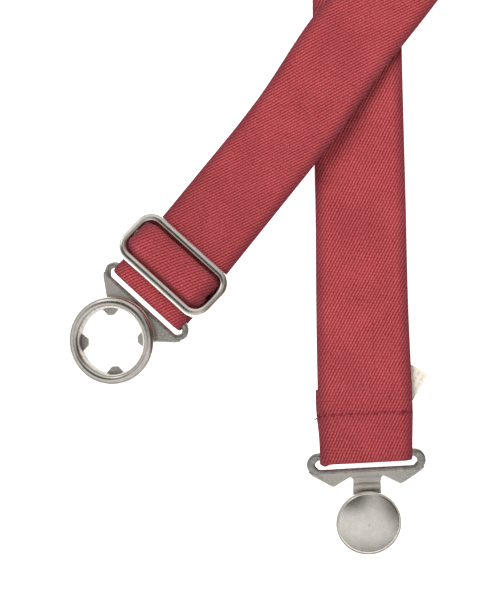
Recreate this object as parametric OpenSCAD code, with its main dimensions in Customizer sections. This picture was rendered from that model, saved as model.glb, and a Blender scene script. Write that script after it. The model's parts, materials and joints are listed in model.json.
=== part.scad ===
// Adjustable elastic suspenders with a Y back, laid flat and folded over at the shoulders.
// Two front straps end in a slider and a ring clip, and the back strap ends in a disc clip
// whose domed disc presses into a ring. Units are millimetres, +Z is up, and the table is z = 0.

/* [Webbing] */
// Width of the elastic webbing
web_w = 35; // [28:1:44]
// Thickness of the webbing
web_t = 1.4; // [1:0.1:1.8]
// Length of each front strap, from its clip bar to the back patch
front_len = 640; // [520:5:800]
// Length of the back strap, from its clip bar to the point where the front straps meet
back_len = 249; // [200:1:310]
// Bend radius of the front straps where they fold at the shoulders
shoulder_r = 2.2; // [1.6:0.1:4]

/* [Layout on the table] */
// Place of the right clip bar, X then Y, from the back clip bar
right_bar = [-79.4, 59.5]; // [-400:0.1:400]
// Direction in which the right strap leaves its clip, in degrees from +X
right_heading = 52.5; // [45:0.5:60]
// Skew of the right clip and slider on their strap, in degrees
right_skew = 5; // [-6:0.5:6]
// Turn of the right strap on its way to the shoulder, in degrees
right_turn = 21; // [15:0.5:28]
// Place of the left clip bar, X then Y, from the back clip bar
left_bar = [-232, 27]; // [-400:0.1:400]
// Direction in which the left strap leaves its clip, in degrees from +X
left_heading = 66; // [60:0.5:75]
// Skew of the left clip and slider on their strap, in degrees
left_skew = 0; // [-6:0.5:6]
// Turn of the left strap on its way to the shoulder, in degrees
left_turn = 20; // [12:0.5:26]
// Skew of the disc clip on the back strap, in degrees
back_skew = 3; // [-5:0.5:5]

/* [Clips] */
// Radius of the bar that each clip swings on
bar_r = 1.4; // [1:0.1:2]
// Thickness of the stamped clip plates
plate_t = 1.6; // [1.2:0.1:2.2]
// Distance from the bar to the centre of the ring
ring_reach = 22.8; // [22:0.2:34]
// Distance from the bar to the centre of the disc
disc_reach = 26; // [24:0.1:34]
// Radius of the ring's bore, into which the disc presses
ring_bore_r = 12.35; // [11:0.05:14.8]
// Width of the ring's domed wall
ring_wall = 4.65; // [3.5:0.05:5.6]
// Height of the ring's dome above the plate
ring_h = 3.9; // [3.2:0.1:5]
// Reach of each tooth past the ring's bore
tooth_h = 2.7; // [1.8:0.1:3.4]
// Radius of the disc
disc_r = 12.15; // [10:0.05:14.6]
// Height of the disc's crown above its rim
crown_h = 2.0; // [1.2:0.1:3]
// Downward slope of the ring clips at rest, in degrees
ring_tilt = 18; // [8:1:24]
// Downward slope of the disc clip at rest, in degrees
disc_tilt = 20; // [8:1:24]

/* [Slider] */
// Size of the slider along the strap
slider_l = 22; // [18:0.5:27]
// Width of the slider's outer bars
slider_bar = 3.6; // [2.4:0.1:4.2]
// Height of the slider's frame
slider_h = 3; // [2.4:0.1:3.6]
// Radius of the slider's centre bar
centre_bar_r = 1.2; // [0.9:0.1:1.5]
// Distance from the clip bar to the slider's centre, at rest
slider_at = 13.1; // [13:0.1:30]
// Travel of the slider along the strap
slider_travel = 60; // [20:1:80]

/* [Back patch] */
// Height of the leather patch, along the back strap
patch_h = 60; // [56:1:76]
// Width of the patch at its top
patch_top_w = 54; // [50:1:66]
// Width of the patch at its foot
patch_foot_w = 38; // [38:1:50]
// Thickness of each leather layer
leather_t = 1.5; // [1.2:0.1:2]

/* [Hidden] */
$fn = 48;

gap = 0.3;                  // clearance between pieces that move past each other
seat = 0.1;                 // clearance between webbing layers that lie on each other
slope_front = 5;            // slope of a front strap's end, in degrees
slope_back = 8;             // slope of the back strap's end, in degrees
loop_m = bar_r + gap + web_t / 2;           // bar axis to the middle of the webbing
slot_w = web_w + 2.5;                       // inside width of a clip's loop
loop_arm = 3.2;                             // width of a clip loop's side arms
loop_w = slot_w + 2 * loop_arm;
ring_slot_w = web_w + 0.9;                   // the ring clips' loops are a little closer
ring_arm = 2.4;
ring_loop_w = ring_slot_w + 2 * ring_arm;
slot_edge = loop_m + web_t / 2 + 1.8;       // bar axis to the far edge of the slot
run_l = slider_at + slider_l / 2 + slider_travel + 40;   // stretch of front strap that moves
run_plan = run_l * cos(slope_front);

ring_r = ring_bore_r + ring_wall;
clear_z = 0.15;             // clearance between the lowest metal edge and the table
joggle = 1.5;               // step down of the disc's neck
plate_lip = 0.4;            // how far the ring stands out past its plate
disc_base_t = 1.2;          // thickness of the disc's base
cap_wall = 0.7;             // wall of the disc's domed cap
disc_base_r = disc_r - cap_wall - seat;
ring_bar_z = (ring_reach + ring_r - plate_lip) * sin(ring_tilt) + plate_t / 2 * cos(ring_tilt) + clear_z;
disc_bar_z = (disc_reach + disc_base_r) * sin(disc_tilt)
    + (joggle + disc_base_t - plate_t / 2) * cos(disc_tilt) + clear_z;

// Heights of the webbing's middle: on the table, and in the three layers of the patch
lay_z = web_t / 2 + seat;
over_z = lay_z + web_t + 0.5;
layer = web_t + seat;
patch_z = leather_t + seat + web_t / 2;
slider_z = loop_m + web_t / 2 + gap + centre_bar_r + seat + web_t;   // centre bar above the clip bar

apex = [0, back_len];
back_half_angle = 36;       // angle of the front straps from the back strap, near the patch
start_gap = 12;             // stretch of each front strap that lies below the apex
arc_r = 500;
straight_l = 150;

RIGHT = [right_bar, right_heading, right_turn, patch_z + layer, 1, right_skew];
LEFT = [left_bar, left_heading, left_turn, patch_z + 2 * layer, -1, left_skew];

function dir(a) = [cos(a), sin(a)];
function smooth(x) = let (t = min(1, max(0, x))) t * t * (3 - 2 * t);
function turned(p, a) = [p.x * cos(a) - p.y * sin(a), p.x * sin(a) + p.y * cos(a)];

// The unfolded centre line of a front strap: straight, an arc, then straight. Gives x, y.
function flat_xy(st, s) = let (
    h = st[1], turn = st[2], arc_l = arc_r * turn * PI / 180,
    p1 = st[0] + straight_l * dir(h), c = p1 + arc_r * dir(h + 90))
    s < straight_l ? st[0] + s * dir(h) :
    s < straight_l + arc_l ? c + arc_r * dir(h - 90 + (s - straight_l) * 180 / PI / arc_r) :
    c + arc_r * dir(h + turn - 90) + (s - straight_l - arc_l) * dir(h + turn);
function heading(st, s) = let (arc_l = arc_r * st[2] * PI / 180)
    st[1] + st[2] * min(1, max(0, (s - straight_l) / arc_l));

// The crease is where the strap folds over, so that its far end lands on the patch.
function patch_end(st) = apex + start_gap * [-st[4] * sin(back_half_angle), -cos(back_half_angle)];
function crease_dir(st) = let (d = flat_xy(st, front_len) - patch_end(st)) d / norm(d);
function crease_at(st) = (flat_xy(st, front_len) + patch_end(st)) / 2
    - crease_dir(st) * PI * shoulder_r / 2;
function crease_s(st) = let (e = (flat_xy(st, front_len) - crease_at(st)) * crease_dir(st))
    front_len - e / (dir(heading(st, front_len)) * crease_dir(st));

// Heights of the webbing's middle along a front strap, before and after the fold
function slope_z(s) = ring_bar_z + loop_m / cos(slope_front) - s * tan(slope_front);
function front_z(st, s) = let (
    a = run_plan, b = run_plan + 45, t = min(1, max(0, (s - a) / (b - a))), sc = crease_s(st),
    low = s < a ? slope_z(s) : over_z + (slope_z(a) - over_z) * (1 - smooth(t))
        - (b - a) * tan(slope_front) * t * pow(1 - t, 2))
    low + (lay_z + 2 * shoulder_r - over_z) * smooth((s - sc + 75) / 55);
function back_z(st, s) = lay_z + (st[3] - lay_z)
    * smooth((s - (front_len - start_gap - web_w - 28 - 14 * (st[3] - patch_z) / layer)) / 32);

// One point of the folded strap: across is the distance from its centre line, off from its middle
function strap_point(st, s, across, off) = let (
    p = flat_xy(st, s) + across * dir(heading(st, s) + 90),
    g = crease_dir(st), e = (p - crease_at(st)) * g, r = shoulder_r,
    a = max(0, min(180, e / r * 180 / PI)), foot = p - e * g,
    top = front_z(st, min(s, crease_s(st))))
    e <= 0 ? [p.x, p.y, top + off] :
    e < PI * r ? let (q = foot + g * (r + off) * sin(a)) [q.x, q.y, lay_z + r + (r + off) * cos(a)] :
    let (q = p - (2 * e - PI * r) * g) [q.x, q.y, back_z(st, s) - off];

function strap_stations(st, from) = let (
    skew = web_w / 2 * 0.45 + 4,
    a = crease_s(st) - skew, b = crease_s(st) + PI * shoulder_r + skew,
    n1 = round((a - from) / 11), n2 = 30, n3 = round((front_len - b) / 9))
    concat([for (i = [0 : n1 - 1]) from + (a - from) * i / n1],
           [for (i = [0 : n2 - 1]) a + (b - a) * i / n2],
           [for (i = [0 : n3]) b + (front_len - b) * i / n3]);

// The box around everything in plan, which puts the origin under its middle
function reach_points(bar, h, reach, r, tilt) = let (c = bar - reach * cos(tilt) * dir(h))
    concat([for (a = [0 : 5 : 355]) let (q = turned([r * cos(a) * cos(tilt), r * sin(a)], h)) c + q],
           [for (y = [-1, 1]) bar + y * loop_w / 2 * dir(h + 90)]);
function edge_points(st) = [for (s = strap_stations(st, 0), y = [-1, 1])
    let (q = strap_point(st, s, y * web_w / 2, web_t / 2)) [q.x, q.y]];
PLAN = concat(edge_points(RIGHT), edge_points(LEFT),
    reach_points(RIGHT[0], RIGHT[1] - RIGHT[5], ring_reach, ring_r, ring_tilt),
    reach_points(LEFT[0], LEFT[1] - LEFT[5], ring_reach, ring_r, ring_tilt),
    reach_points([0, 0], 90 + back_skew, disc_reach, disc_r, disc_tilt));
shift = [for (k = [0, 1]) -(min([for (p = PLAN) p[k]]) + max([for (p = PLAN) p[k]])) / 2];

CRIMSON = "#9d2c36";
LEATHER = "#4a3028";
STEEL = "#a9a49b";
NICKEL = "#c9c5bc";

// A strip swept along rings of four points: lower left, lower right, upper right, upper left
module ribbon(rings) {
    n = len(rings);
    polyhedron(
        [for (r = rings, p = r) p],
        concat([[0, 2, 1], [0, 3, 2]],
            [for (i = [0 : n - 2], k = [0 : 3]) let (a = 4 * i + k, b = 4 * i + (k + 1) % 4)
                [a, b + 4, a + 4]],
            [for (i = [0 : n - 2], k = [0 : 3]) let (a = 4 * i + k, b = 4 * i + (k + 1) % 4)
                [a, b, b + 4]],
            [let (m = 4 * (n - 1)) [m, m + 1, m + 2], let (m = 4 * (n - 1)) [m, m + 2, m + 3]]),
        convexity = 6);
}

module folded_strap(st) {
    translate([shift.x, shift.y, 0])
        ribbon([for (s = strap_stations(st, run_plan + (loop_m + web_t / 2) * sin(slope_front) + seat)) [
            strap_point(st, s, web_w / 2, -web_t / 2), strap_point(st, s, -web_w / 2, -web_t / 2),
            strap_point(st, s, -web_w / 2, web_t / 2), strap_point(st, s, web_w / 2, web_t / 2)]]);
}

// Frame of a strap's end: X up the strap, Y across it, Z away from the table, origin on the bar
module strap_end(bar, h, bar_z, slope) {
    translate([bar.x + shift.x, bar.y + shift.y, bar_z]) rotate([0, 0, h]) rotate([0, slope, 0])
        children();
}

// A front strap's end, straight and then skewed on the strap, and the frames of the clips:
// X from the bar to the ring or disc, Z up
module front_end(st) { strap_end(st[0], st[1], ring_bar_z, slope_front) children(); }
module skewed_end(st) { front_end(st) rotate([0, 0, -st[5]]) children(); }
module front_clip(st) {
    skewed_end(st) rotate([0, 0, 180]) rotate([0, ring_tilt + slope_front, 0]) children();
}
module back_clip() {
    strap_end([0, 0], 90 + back_skew, disc_bar_z, 0) rotate([0, 0, 180]) rotate([0, disc_tilt, 0])
        children();
}

// A profile in the X-Z plane, extruded across the strap
module across(w) { rotate([90, 0, 0]) linear_extrude(w, center = true) children(); }

// The outline of a layer of webbing around a line of points
function band(line) = let (n = len(line), side = [for (i = [0 : n - 1]) let (
    d = line[min(n - 1, i + 1)] - line[max(0, i - 1)]) [-d.y, d.x] / norm(d) * web_t / 2])
    concat([for (i = [0 : n - 1]) line[i] + side[i]],
           [for (i = [n - 1 : -1 : 0]) line[i] - side[i]]);

module front_run(st) {
    difference() {
        front_end(st) translate([-5, -web_w / 2, loop_m - web_t / 2]) cube([run_l + 5, web_w, web_t]);
        skewed_end(st) translate([-20, -web_w, 0]) cube([20 + seat, 2 * web_w, 2 * loop_m]);
    }
}

module end_loop(st) {
    skewed_end(st) rotate([90, 0, 0]) difference() {
        cylinder(r = loop_m + web_t / 2, h = web_w, center = true);
        cylinder(r = loop_m - web_t / 2, h = web_w + 1, center = true);
        translate([0, -loop_m - web_t, -web_w]) cube([2 * loop_m + web_t, 2 * loop_m + 2 * web_t, 2 * web_w]);
    }
}

return_z = loop_m - web_t - seat;       // height of the return layer under the running strap
return_end = slider_at + slider_l / 3;
module return_layer(st) {
    line = [for (i = [0 : 16]) let (x = seat + i * (return_end - seat) / 16)
        [x, -loop_m + (return_z + loop_m) * smooth((x - 1.5) / (slider_at - 3))]];
    skewed_end(st) across(web_w) polygon(band(line));
}

module rounded_rect(l, w, r) {
    square([l - 2 * r, w], center = true);
    square([l, w - 2 * r], center = true);
    for (x = [-1, 1], y = [-1, 1]) translate([x * (l / 2 - r), y * (w / 2 - r)]) circle(r);
}

slider_in_w = web_w + 1.4;
slider_w = slider_in_w + 2 * slider_bar;
module at_slider(st) {
    front_end(st) translate([slider_at, 0, slider_z]) rotate([0, 0, -st[5]]) children();
}

module slider_frame(st) {
    at_slider(st) translate([0, 0, -slider_h / 2]) linear_extrude(slider_h) difference() {
        rounded_rect(slider_l, slider_w, 7);
        rounded_rect(slider_l - 2 * slider_bar, slider_in_w, 3.4);
    }
}

module slider_centre_bar(st) {
    at_slider(st) rotate([90, 0, 0]) cylinder(r = centre_bar_r, h = slider_in_w, center = true);
}

roll_in_r = centre_bar_r + seat;
roll_r = roll_in_r + web_t;
module sewn_roll(st) {
    at_slider(st) rotate([90, 0, 0]) difference() {
        cylinder(r = roll_r, h = web_w - 1, center = true);
        cylinder(r = roll_in_r, h = web_w, center = true);
    }
}

hump_in_r = roll_r + seat;
hump_x = slider_l / 2 - slider_bar - 1.1;   // the arch almost fills the slider's window
hump_foot_z = loop_m + web_t / 2 + seat - slider_z;
module half_arch(x, z) {
    scale([x, z]) circle(1);
    translate([-x, hump_foot_z]) square([2 * x, -hump_foot_z]);
}
module strap_hump(st) {
    at_slider(st) across(web_w - 1) difference() {
        half_arch(hump_x, hump_in_r + web_t);
        half_arch(hump_x - web_t, hump_in_r);
        translate([-20, hump_foot_z - 10]) square([40, 10]);
    }
}

// A row of thread stitches along X, centred, lying on a surface at z = 0
module stitch_row(length, pitch) {
    n = floor(length / pitch);
    for (i = [0 : n - 1])
        translate([(i - (n - 1) / 2) * pitch, 0, thread_r + 0.02])
            rotate([0, 90, 0]) cylinder(r = thread_r, h = pitch * 0.75, center = true, $fn = 16);
}
thread_r = 0.25;

module roll_stitching(st) {
    skewed_end(st) translate([return_end - 3, 0, return_z - web_t / 2]) rotate([180, 0, 0])
        rotate([0, 0, 90]) stitch_row(web_w - 4, 2.4);
}

// The stamped loop of a clip: bar, rounded corners and side arms
module loop_outline(slot_w, loop_w) {
    corner = 4.2;
    difference() {
        union() {
            translate([-bar_r, -loop_w / 2 + corner]) square([slot_edge + bar_r + 1, loop_w - 2 * corner]);
            translate([-bar_r + corner, -loop_w / 2]) square([slot_edge + bar_r + 1 - corner, loop_w]);
            for (y = [-1, 1]) translate([corner - bar_r, y * (loop_w / 2 - corner)]) circle(corner);
        }
        translate([-50, -slot_w / 2]) square([50 + slot_edge, slot_w]);
    }
}

module loop_bar(slot_w) { rotate([90, 0, 0]) cylinder(r = bar_r, h = slot_w + 2, center = true); }

module tooth() {
    polygon([[-ring_bore_r - 1, -3.2], [-ring_bore_r + 0.4, -3], [-ring_bore_r + tooth_h, -1.3],
             [-ring_bore_r + tooth_h, 1.3], [-ring_bore_r + 0.4, 3], [-ring_bore_r - 1, 3.2]]);
}

module ring_plate(st) {
    half = ring_loop_w / 2;
    front_clip(st) {
        loop_bar(ring_slot_w);
        translate([0, 0, -plate_t / 2]) linear_extrude(plate_t) {
            loop_outline(ring_slot_w, ring_loop_w);
            difference() {
                union() {
                    translate([ring_reach, 0]) circle(ring_r - plate_lip, $fn = 96);
                    polygon([[slot_edge, -half], [slot_edge, half], [slot_edge + 2.6, half - 0.6],
                             [slot_edge + 6.4, half - 6.2], [ring_reach - 8, ring_r - 3.4],
                             [ring_reach - 8, -ring_r + 3.4], [slot_edge + 6.4, -half + 6.2],
                             [slot_edge + 2.6, -half + 0.6]]);
                }
                translate([ring_reach, 0]) circle(ring_bore_r, $fn = 96);
            }
            for (a = [45 : 90 : 315]) translate([ring_reach, 0]) rotate(a) tooth();
        }
    }
}

module ring_bezel(st) {
    front_clip(st) translate([ring_reach, 0, plate_t / 2 + 0.02]) rotate_extrude($fn = 96)
        polygon(concat([[ring_bore_r, 0], [ring_r, 0], [ring_r, 0.9]],
            [for (a = [20 : 14 : 146]) [ring_r - ring_wall / 2 + ring_wall / 2 * cos(a) * 0.98,
                                        0.9 + (ring_h - 0.9) * sin(a)]],
            [[ring_bore_r, 2.4]]));
}

neck_w = 10.4;
rim_h = 1.9;
module disc_plate() {
    wing = slot_edge + 7;
    neck_x = slot_edge + 3.4;
    back_clip() {
        loop_bar(slot_w);
        translate([0, 0, -plate_t / 2]) linear_extrude(plate_t) {
            loop_outline(slot_w, loop_w);
            polygon([[slot_edge, -loop_w / 2], [slot_edge, loop_w / 2], [wing, 13.2], [wing, 12.2],
                     [neck_x, neck_w / 2 + 0.8], [neck_x, -neck_w / 2 - 0.8], [wing, -12.2], [wing, -13.2]]);
        }
        across(neck_w) polygon([[neck_x - 0.5, plate_t / 2], [neck_x + 1.8, plate_t / 2],
            [neck_x + 3.6, plate_t / 2 - joggle], [disc_reach - disc_r + 3, plate_t / 2 - joggle],
            [disc_reach - disc_r + 3, -plate_t / 2 - joggle + 0.3],
            [neck_x + 2.8, -plate_t / 2 - joggle + 0.3], [neck_x + 1, -plate_t / 2],
            [neck_x - 0.5, -plate_t / 2]]);
        translate([disc_reach, 0, plate_t / 2 - joggle - disc_base_t])
            cylinder(r = disc_base_r, h = disc_base_t, $fn = 96);
    }
}

module disc_cap() {
    // the rim starts above the neck, and the crown is part of a sphere
    crown_r = (disc_r * disc_r + crown_h * crown_h) / (2 * crown_h);
    half = asin(disc_r / crown_r);
    inner_half = asin((disc_r - cap_wall) / crown_r);
    back_clip() translate([disc_reach, 0, plate_t / 2 - joggle + seat]) rotate_extrude($fn = 96)
        polygon(concat([[0, rim_h - cap_wall + crown_h], [disc_r - cap_wall, rim_h - cap_wall],
            [disc_r - cap_wall, 0], [disc_r, 0]],
            [for (i = [0 : 10]) let (a = half * (1 - i / 10))
                [crown_r * sin(a), rim_h + crown_r * cos(a) - crown_r + crown_h]]));
}

// The back strap's middle line in the Y-Z plane, from its sewn end round the bar to the patch
back_straight = 84;
seam_at = 18;               // bar axis to the seam that closes the back strap's loop
back_rise_y = back_len - patch_h / 2 + 6 - 12;   // where it starts to rise on to the lower leather
function back_end_line() = concat(
    [for (i = [0 : 14]) let (x = (seam_at + 7) * (1 - i / 14))
        [x, -loop_m + (return_z + loop_m) * smooth(x / 13)]],
    [for (a = [-100 : -10 : -260]) loop_m * dir(a)]);
back_line = concat(
    [for (p = back_end_line()) turned(p, -slope_back) + [0, disc_bar_z]],
    [for (i = [0 : 24]) let (y = 0.5 + back_straight * i / 24, t = i / 24, s0 = tan(slope_back))
        [y, lay_z + (disc_bar_z + loop_m / cos(slope_back) - lay_z)
            * (1 - smooth(t)) - back_straight * s0 * t * pow(1 - t, 2) * 0.6]],
    [for (i = [1 : 10]) let (y0 = back_straight + 0.5) [y0 + (back_rise_y - y0) * i / 10, lay_z]],
    [for (i = [1 : 7]) [back_rise_y + 11 * i / 7, lay_z + (patch_z - lay_z) * smooth(i / 7)]],
    [for (i = [1 : 3]) let (y0 = back_rise_y + 11) [y0 + (back_len - 4 - y0) * i / 3, patch_z]]);
function back_top_z(y) = lookup(y, [for (i = [32 : len(back_line) - 1]) back_line[i]]) + web_t / 2;

module strap_back() {
    n = len(back_line);
    outline = band(back_line);
    color(CRIMSON) translate([shift.x, shift.y, 0]) ribbon([for (i = [0 : n - 1]) let (
        p = outline[i], q = outline[2 * n - 1 - i], a = web_w / 2,
        sp = skew_y(p.x, a), sq = skew_y(q.x, a))
        [[-a, q.x - sq, q.y], [a, q.x + sq, q.y], [a, p.x + sp, p.y], [-a, p.x - sp, p.y]]]);
}
// How far the skewed end of the back strap is drawn along Y, at x across it
function skew_y(y, x) = x * tan(back_skew) * (1 - smooth((y - 20) / 60));

// Things sewn to the back strap's end lie on its slope
module on_back_strap(y) {
    slope = atan2(back_top_z(y + 3) - back_top_z(y - 3), 6);
    translate([shift.x, y + shift.y, back_top_z(y)]) rotate([slope, 0, 0]) children();
}
module back_end_seam() {
    color(CRIMSON) on_back_strap(seam_at - 3) translate([0, 0, 0.2]) stitch_row(web_w - 1, 3.4);
}
label_at = 45;              // back clip bar to the middle of the label's seam
module label_seam() {
    color(CRIMSON) on_back_strap(label_at) translate([3.8, 0, 0.1]) rotate([0, 0, 90])
        stitch_row(23, 2.6);
}
module care_label() {
    color("#efe6cf") on_back_strap(34) translate([15, -2, -web_t - 1.1])
        rotate([0, 0, -37]) cube([16, 12, 0.4], center = true);
}

// Outline of the leather patch: a shield with rounded corners, counter-clockwise
function shield(inset) = let (
    top = back_len + patch_h / 2 + 6 - inset, foot = back_len - patch_h / 2 + 6 + inset,
    a = patch_foot_w / 2 - inset, b = patch_top_w / 2 - inset)
    [[-a, foot], [a, foot], [b, foot + patch_h * 0.45], [b, top], [-b, top], [-b, foot + patch_h * 0.45]];
function rounded(pts, r) = let (n = len(pts)) [for (i = [0 : n - 1]) let (
    u = pts[i] - pts[(i + n - 1) % n], v = pts[(i + 1) % n] - pts[i],
    a = atan2(-u.x, u.y), b0 = atan2(-v.x, v.y), b = b0 < a ? b0 + 360 : b0,
    n1 = dir(a), n2 = dir(b), c = pts[i] - r * (n1 + n2) / (1 + n1 * n2))
    for (k = [0 : 6]) c + r * dir(a + (b - a) * k / 6)];
module patch_layer(z) {
    translate([shift.x, shift.y, z]) linear_extrude(leather_t) polygon(rounded(shield(0), 6));
}
patch_top_z = patch_z + 2 * layer + web_t / 2 + seat;
module patch_under() { color(LEATHER) patch_layer(0); }
module patch_top() { color(LEATHER) patch_layer(patch_top_z); }
module patch_stitching() {
    line = shield(2.6);
    color(CRIMSON) for (i = [0 : 5]) let (a = line[i], b = line[(i + 1) % 6], d = b - a)
        translate([(a.x + b.x) / 2 + shift.x, (a.y + b.y) / 2 + shift.y, patch_top_z + leather_t])
            rotate([0, 0, atan2(d.y, d.x)]) stitch_row(norm(d) - 7, 3);
}

strap_back();
color(CRIMSON) folded_strap(RIGHT);  // strap_right
color(CRIMSON) folded_strap(LEFT);  // strap_left
color(CRIMSON) front_run(RIGHT);  // front_run_right
color(CRIMSON) front_run(LEFT);  // front_run_left
color(CRIMSON) end_loop(RIGHT);  // end_loop_right
color(CRIMSON) end_loop(LEFT);  // end_loop_left
color(CRIMSON) return_layer(RIGHT);  // return_layer_right
color(CRIMSON) return_layer(LEFT);  // return_layer_left
color(NICKEL) slider_frame(RIGHT);  // slider_frame_right
color(NICKEL) slider_frame(LEFT);  // slider_frame_left
color(NICKEL) slider_centre_bar(RIGHT);  // slider_bar_right
color(NICKEL) slider_centre_bar(LEFT);  // slider_bar_left
color(CRIMSON) sewn_roll(RIGHT);  // sewn_roll_right
color(CRIMSON) sewn_roll(LEFT);  // sewn_roll_left
color(CRIMSON) strap_hump(RIGHT);  // strap_hump_right
color(CRIMSON) strap_hump(LEFT);  // strap_hump_left
color(CRIMSON) roll_stitching(RIGHT);  // roll_stitching_right
color(CRIMSON) roll_stitching(LEFT);  // roll_stitching_left
color(STEEL) ring_plate(RIGHT);  // ring_plate_right
color(STEEL) ring_plate(LEFT);  // ring_plate_left
color(NICKEL) ring_bezel(RIGHT);  // ring_bezel_right
color(NICKEL) ring_bezel(LEFT);  // ring_bezel_left
color(STEEL) disc_plate();
color(NICKEL) disc_cap();
back_end_seam();
label_seam();
care_label();
patch_under();
patch_top();
patch_stitching();
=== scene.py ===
# %% [markdown]
# # Elastic suspenders, laid flat
#
# The suspenders are three lengths of twill elastic joined by a leather patch. Two front straps end in
# a slider and a hinged ring, and the back strap ends in a hinged disc. Everything here is built in
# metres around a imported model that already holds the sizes, the places and the joints, so the lesson
# is about shape and finish: how to carry a flat ribbon round a fold, how to sweep metal bars, and how
# to weave cloth with nodes.

import json
import math

import bpy
import numpy as np
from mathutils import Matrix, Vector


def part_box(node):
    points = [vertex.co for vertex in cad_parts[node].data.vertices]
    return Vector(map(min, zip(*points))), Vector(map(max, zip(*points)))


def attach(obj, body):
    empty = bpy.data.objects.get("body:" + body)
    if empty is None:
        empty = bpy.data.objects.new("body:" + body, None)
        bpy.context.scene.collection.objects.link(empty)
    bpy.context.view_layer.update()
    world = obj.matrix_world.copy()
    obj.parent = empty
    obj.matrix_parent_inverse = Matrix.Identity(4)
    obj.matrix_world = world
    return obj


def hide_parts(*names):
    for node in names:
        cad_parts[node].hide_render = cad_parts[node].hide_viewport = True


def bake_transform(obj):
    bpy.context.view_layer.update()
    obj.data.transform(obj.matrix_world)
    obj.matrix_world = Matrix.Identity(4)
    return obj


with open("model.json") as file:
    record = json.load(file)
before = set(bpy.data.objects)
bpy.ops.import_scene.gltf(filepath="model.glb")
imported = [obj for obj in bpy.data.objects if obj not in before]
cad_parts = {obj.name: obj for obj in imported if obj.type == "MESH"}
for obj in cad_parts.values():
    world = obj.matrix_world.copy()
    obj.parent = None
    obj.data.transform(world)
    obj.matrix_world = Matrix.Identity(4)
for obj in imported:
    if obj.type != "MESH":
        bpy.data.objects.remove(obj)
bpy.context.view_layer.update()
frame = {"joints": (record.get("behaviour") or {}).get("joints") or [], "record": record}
joints = {j["name"]: j for j in frame["joints"]}
mounts = {m["name"]: m for m in frame["record"]["mounts"]}

# %% [markdown]
# ## Sizes
#
# The sizes that the pieces share are named once, in millimetres times `MM`. What fits round something
# else, such as the webbing round a clip's bar, is worked out from the two pieces and a clearance.

# %% Sizes of the webbing and the hardware
MM = 0.001
WEB_W = 35 * MM
WEB_T = 1.4 * MM
SEAT = 0.1 * MM                     # gap between layers that lie on each other
BAR_R = 1.4 * MM
LOOP_M = BAR_R + 0.3 * MM + WEB_T / 2   # clip bar's axis to the middle of the webbing
FRONT_LEN = 640 * MM
SHOULDER_R = 2.2 * MM
ARC_R = 500 * MM
STRAIGHT = 150 * MM
PLATE_T = 1.6 * MM
SLOT_W = WEB_W + 2.5 * MM
SLOT_EDGE = LOOP_M + WEB_T / 2 + 1.8 * MM
ARM_W = 3.2 * MM
DISC_R = mounts["disc_rim"]["dims"]["r_mm"] * MM
BORE_R = DISC_R + 0.2 * MM          # the ring just passes over the disc
RING_SLOT_W = WEB_W + 0.9 * MM
RING_ARM_W = 2.4 * MM
RING_REACH = 22.8 * MM              # clip bar to the middle of the ring
RING_TILT = math.radians(18)
LAY_Z = WEB_T / 2 + SEAT
OVER_Z = LAY_Z + WEB_T + 0.5 * MM
LAYER = WEB_T + SEAT
patch_low, patch_high = (np.array(v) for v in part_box("patch_under"))
PATCH_Z = patch_high[2] + SEAT + WEB_T / 2
DISC_BAR = np.array(joints["disc_clip_hinge"]["pos_m"])
APEX = np.array([DISC_BAR[0], (patch_low[1] + patch_high[1]) / 2 - 6 * MM])
print("back strap", round((APEX[1] - DISC_BAR[1]) * 1000, 1), "mm from its bar to the patch")

# %% [markdown]
# ## Surfaces from grids
#
# Every new piece is a grid of points: rows along a path, columns round a profile. The faces of such a
# grid always follow the same rule, so one function makes them, and another turns points and faces into
# an object. Meshes are flipped when their signed volume is negative, so all faces point outwards.


# %% Grid helpers
def grid_faces(rows, cols, wrap_rows=False):
    """Quads of a rows x cols grid whose columns close into a ring: corner (i, j) joins (i+1, j+1)."""
    i = np.arange(rows if wrap_rows else rows - 1)[:, None]
    j = np.arange(cols)[None, :]
    i2, j2 = (i + 1) % rows, (j + 1) % cols
    quads = np.stack([i * cols + j, i * cols + j2, i2 * cols + j2, i2 * cols + j], -1)
    return quads.reshape(-1, 4)


def make_object(name, points, faces, caps=(), uv=None, material=None, paint=None):
    """A mesh object at the origin. caps are rings of point numbers that close the ends, uv is per point.
    material is one material or several, and paint the number of each face's own."""
    faces = [tuple(int(v) for v in f) for f in faces] + [tuple(int(v) for v in c) for c in caps]
    tri = np.array([(f[0], f[k], f[k + 1]) for f in faces for k in range(1, len(f) - 1)])
    a, b, c = (points[tri[:, k]] for k in range(3))
    if np.einsum("ij,ij->i", a, np.cross(b, c)).sum() < 0:
        faces = [f[::-1] for f in faces]
    mesh = bpy.data.meshes.new(name)
    mesh.from_pydata([tuple(p) for p in points], [], faces)
    if uv is not None:
        layer = mesh.uv_layers.new(name="Weave")
        loops = np.zeros(len(mesh.loops), np.int32)
        mesh.loops.foreach_get("vertex_index", loops)
        layer.data.foreach_set("uv", np.asarray(uv, np.float32)[loops].ravel())
    mesh.polygons.foreach_set("use_smooth", np.full(len(mesh.polygons), True))
    mesh.update()
    thing = bpy.data.objects.new(name, mesh)
    bpy.context.scene.collection.objects.link(thing)
    for one in material if isinstance(material, list) else [material]:
        mesh.materials.append(one)
    if paint is not None:
        mesh.polygons.foreach_set("material_index", np.asarray(paint, np.int32))
    return thing


def merge(parts, finish=None):
    """Joins (points, faces, caps) lists into one, with the point numbers moved on. finish gives each
    part's material number, and the faces' numbers come back last."""
    points, faces, caps, start, paint, cap_paint = [], [], [], 0, [], []
    for k, (p, f, c) in enumerate(parts):
        points.append(p)
        faces += [tuple(int(v) + start for v in face) for face in f]
        caps += [tuple(int(v) + start for v in cap) for cap in c]
        paint += [finish[k] if finish else 0] * len(f)
        cap_paint += [finish[k] if finish else 0] * len(c)
        start += len(p)
    return np.concatenate(points), faces, caps, paint + cap_paint


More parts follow.
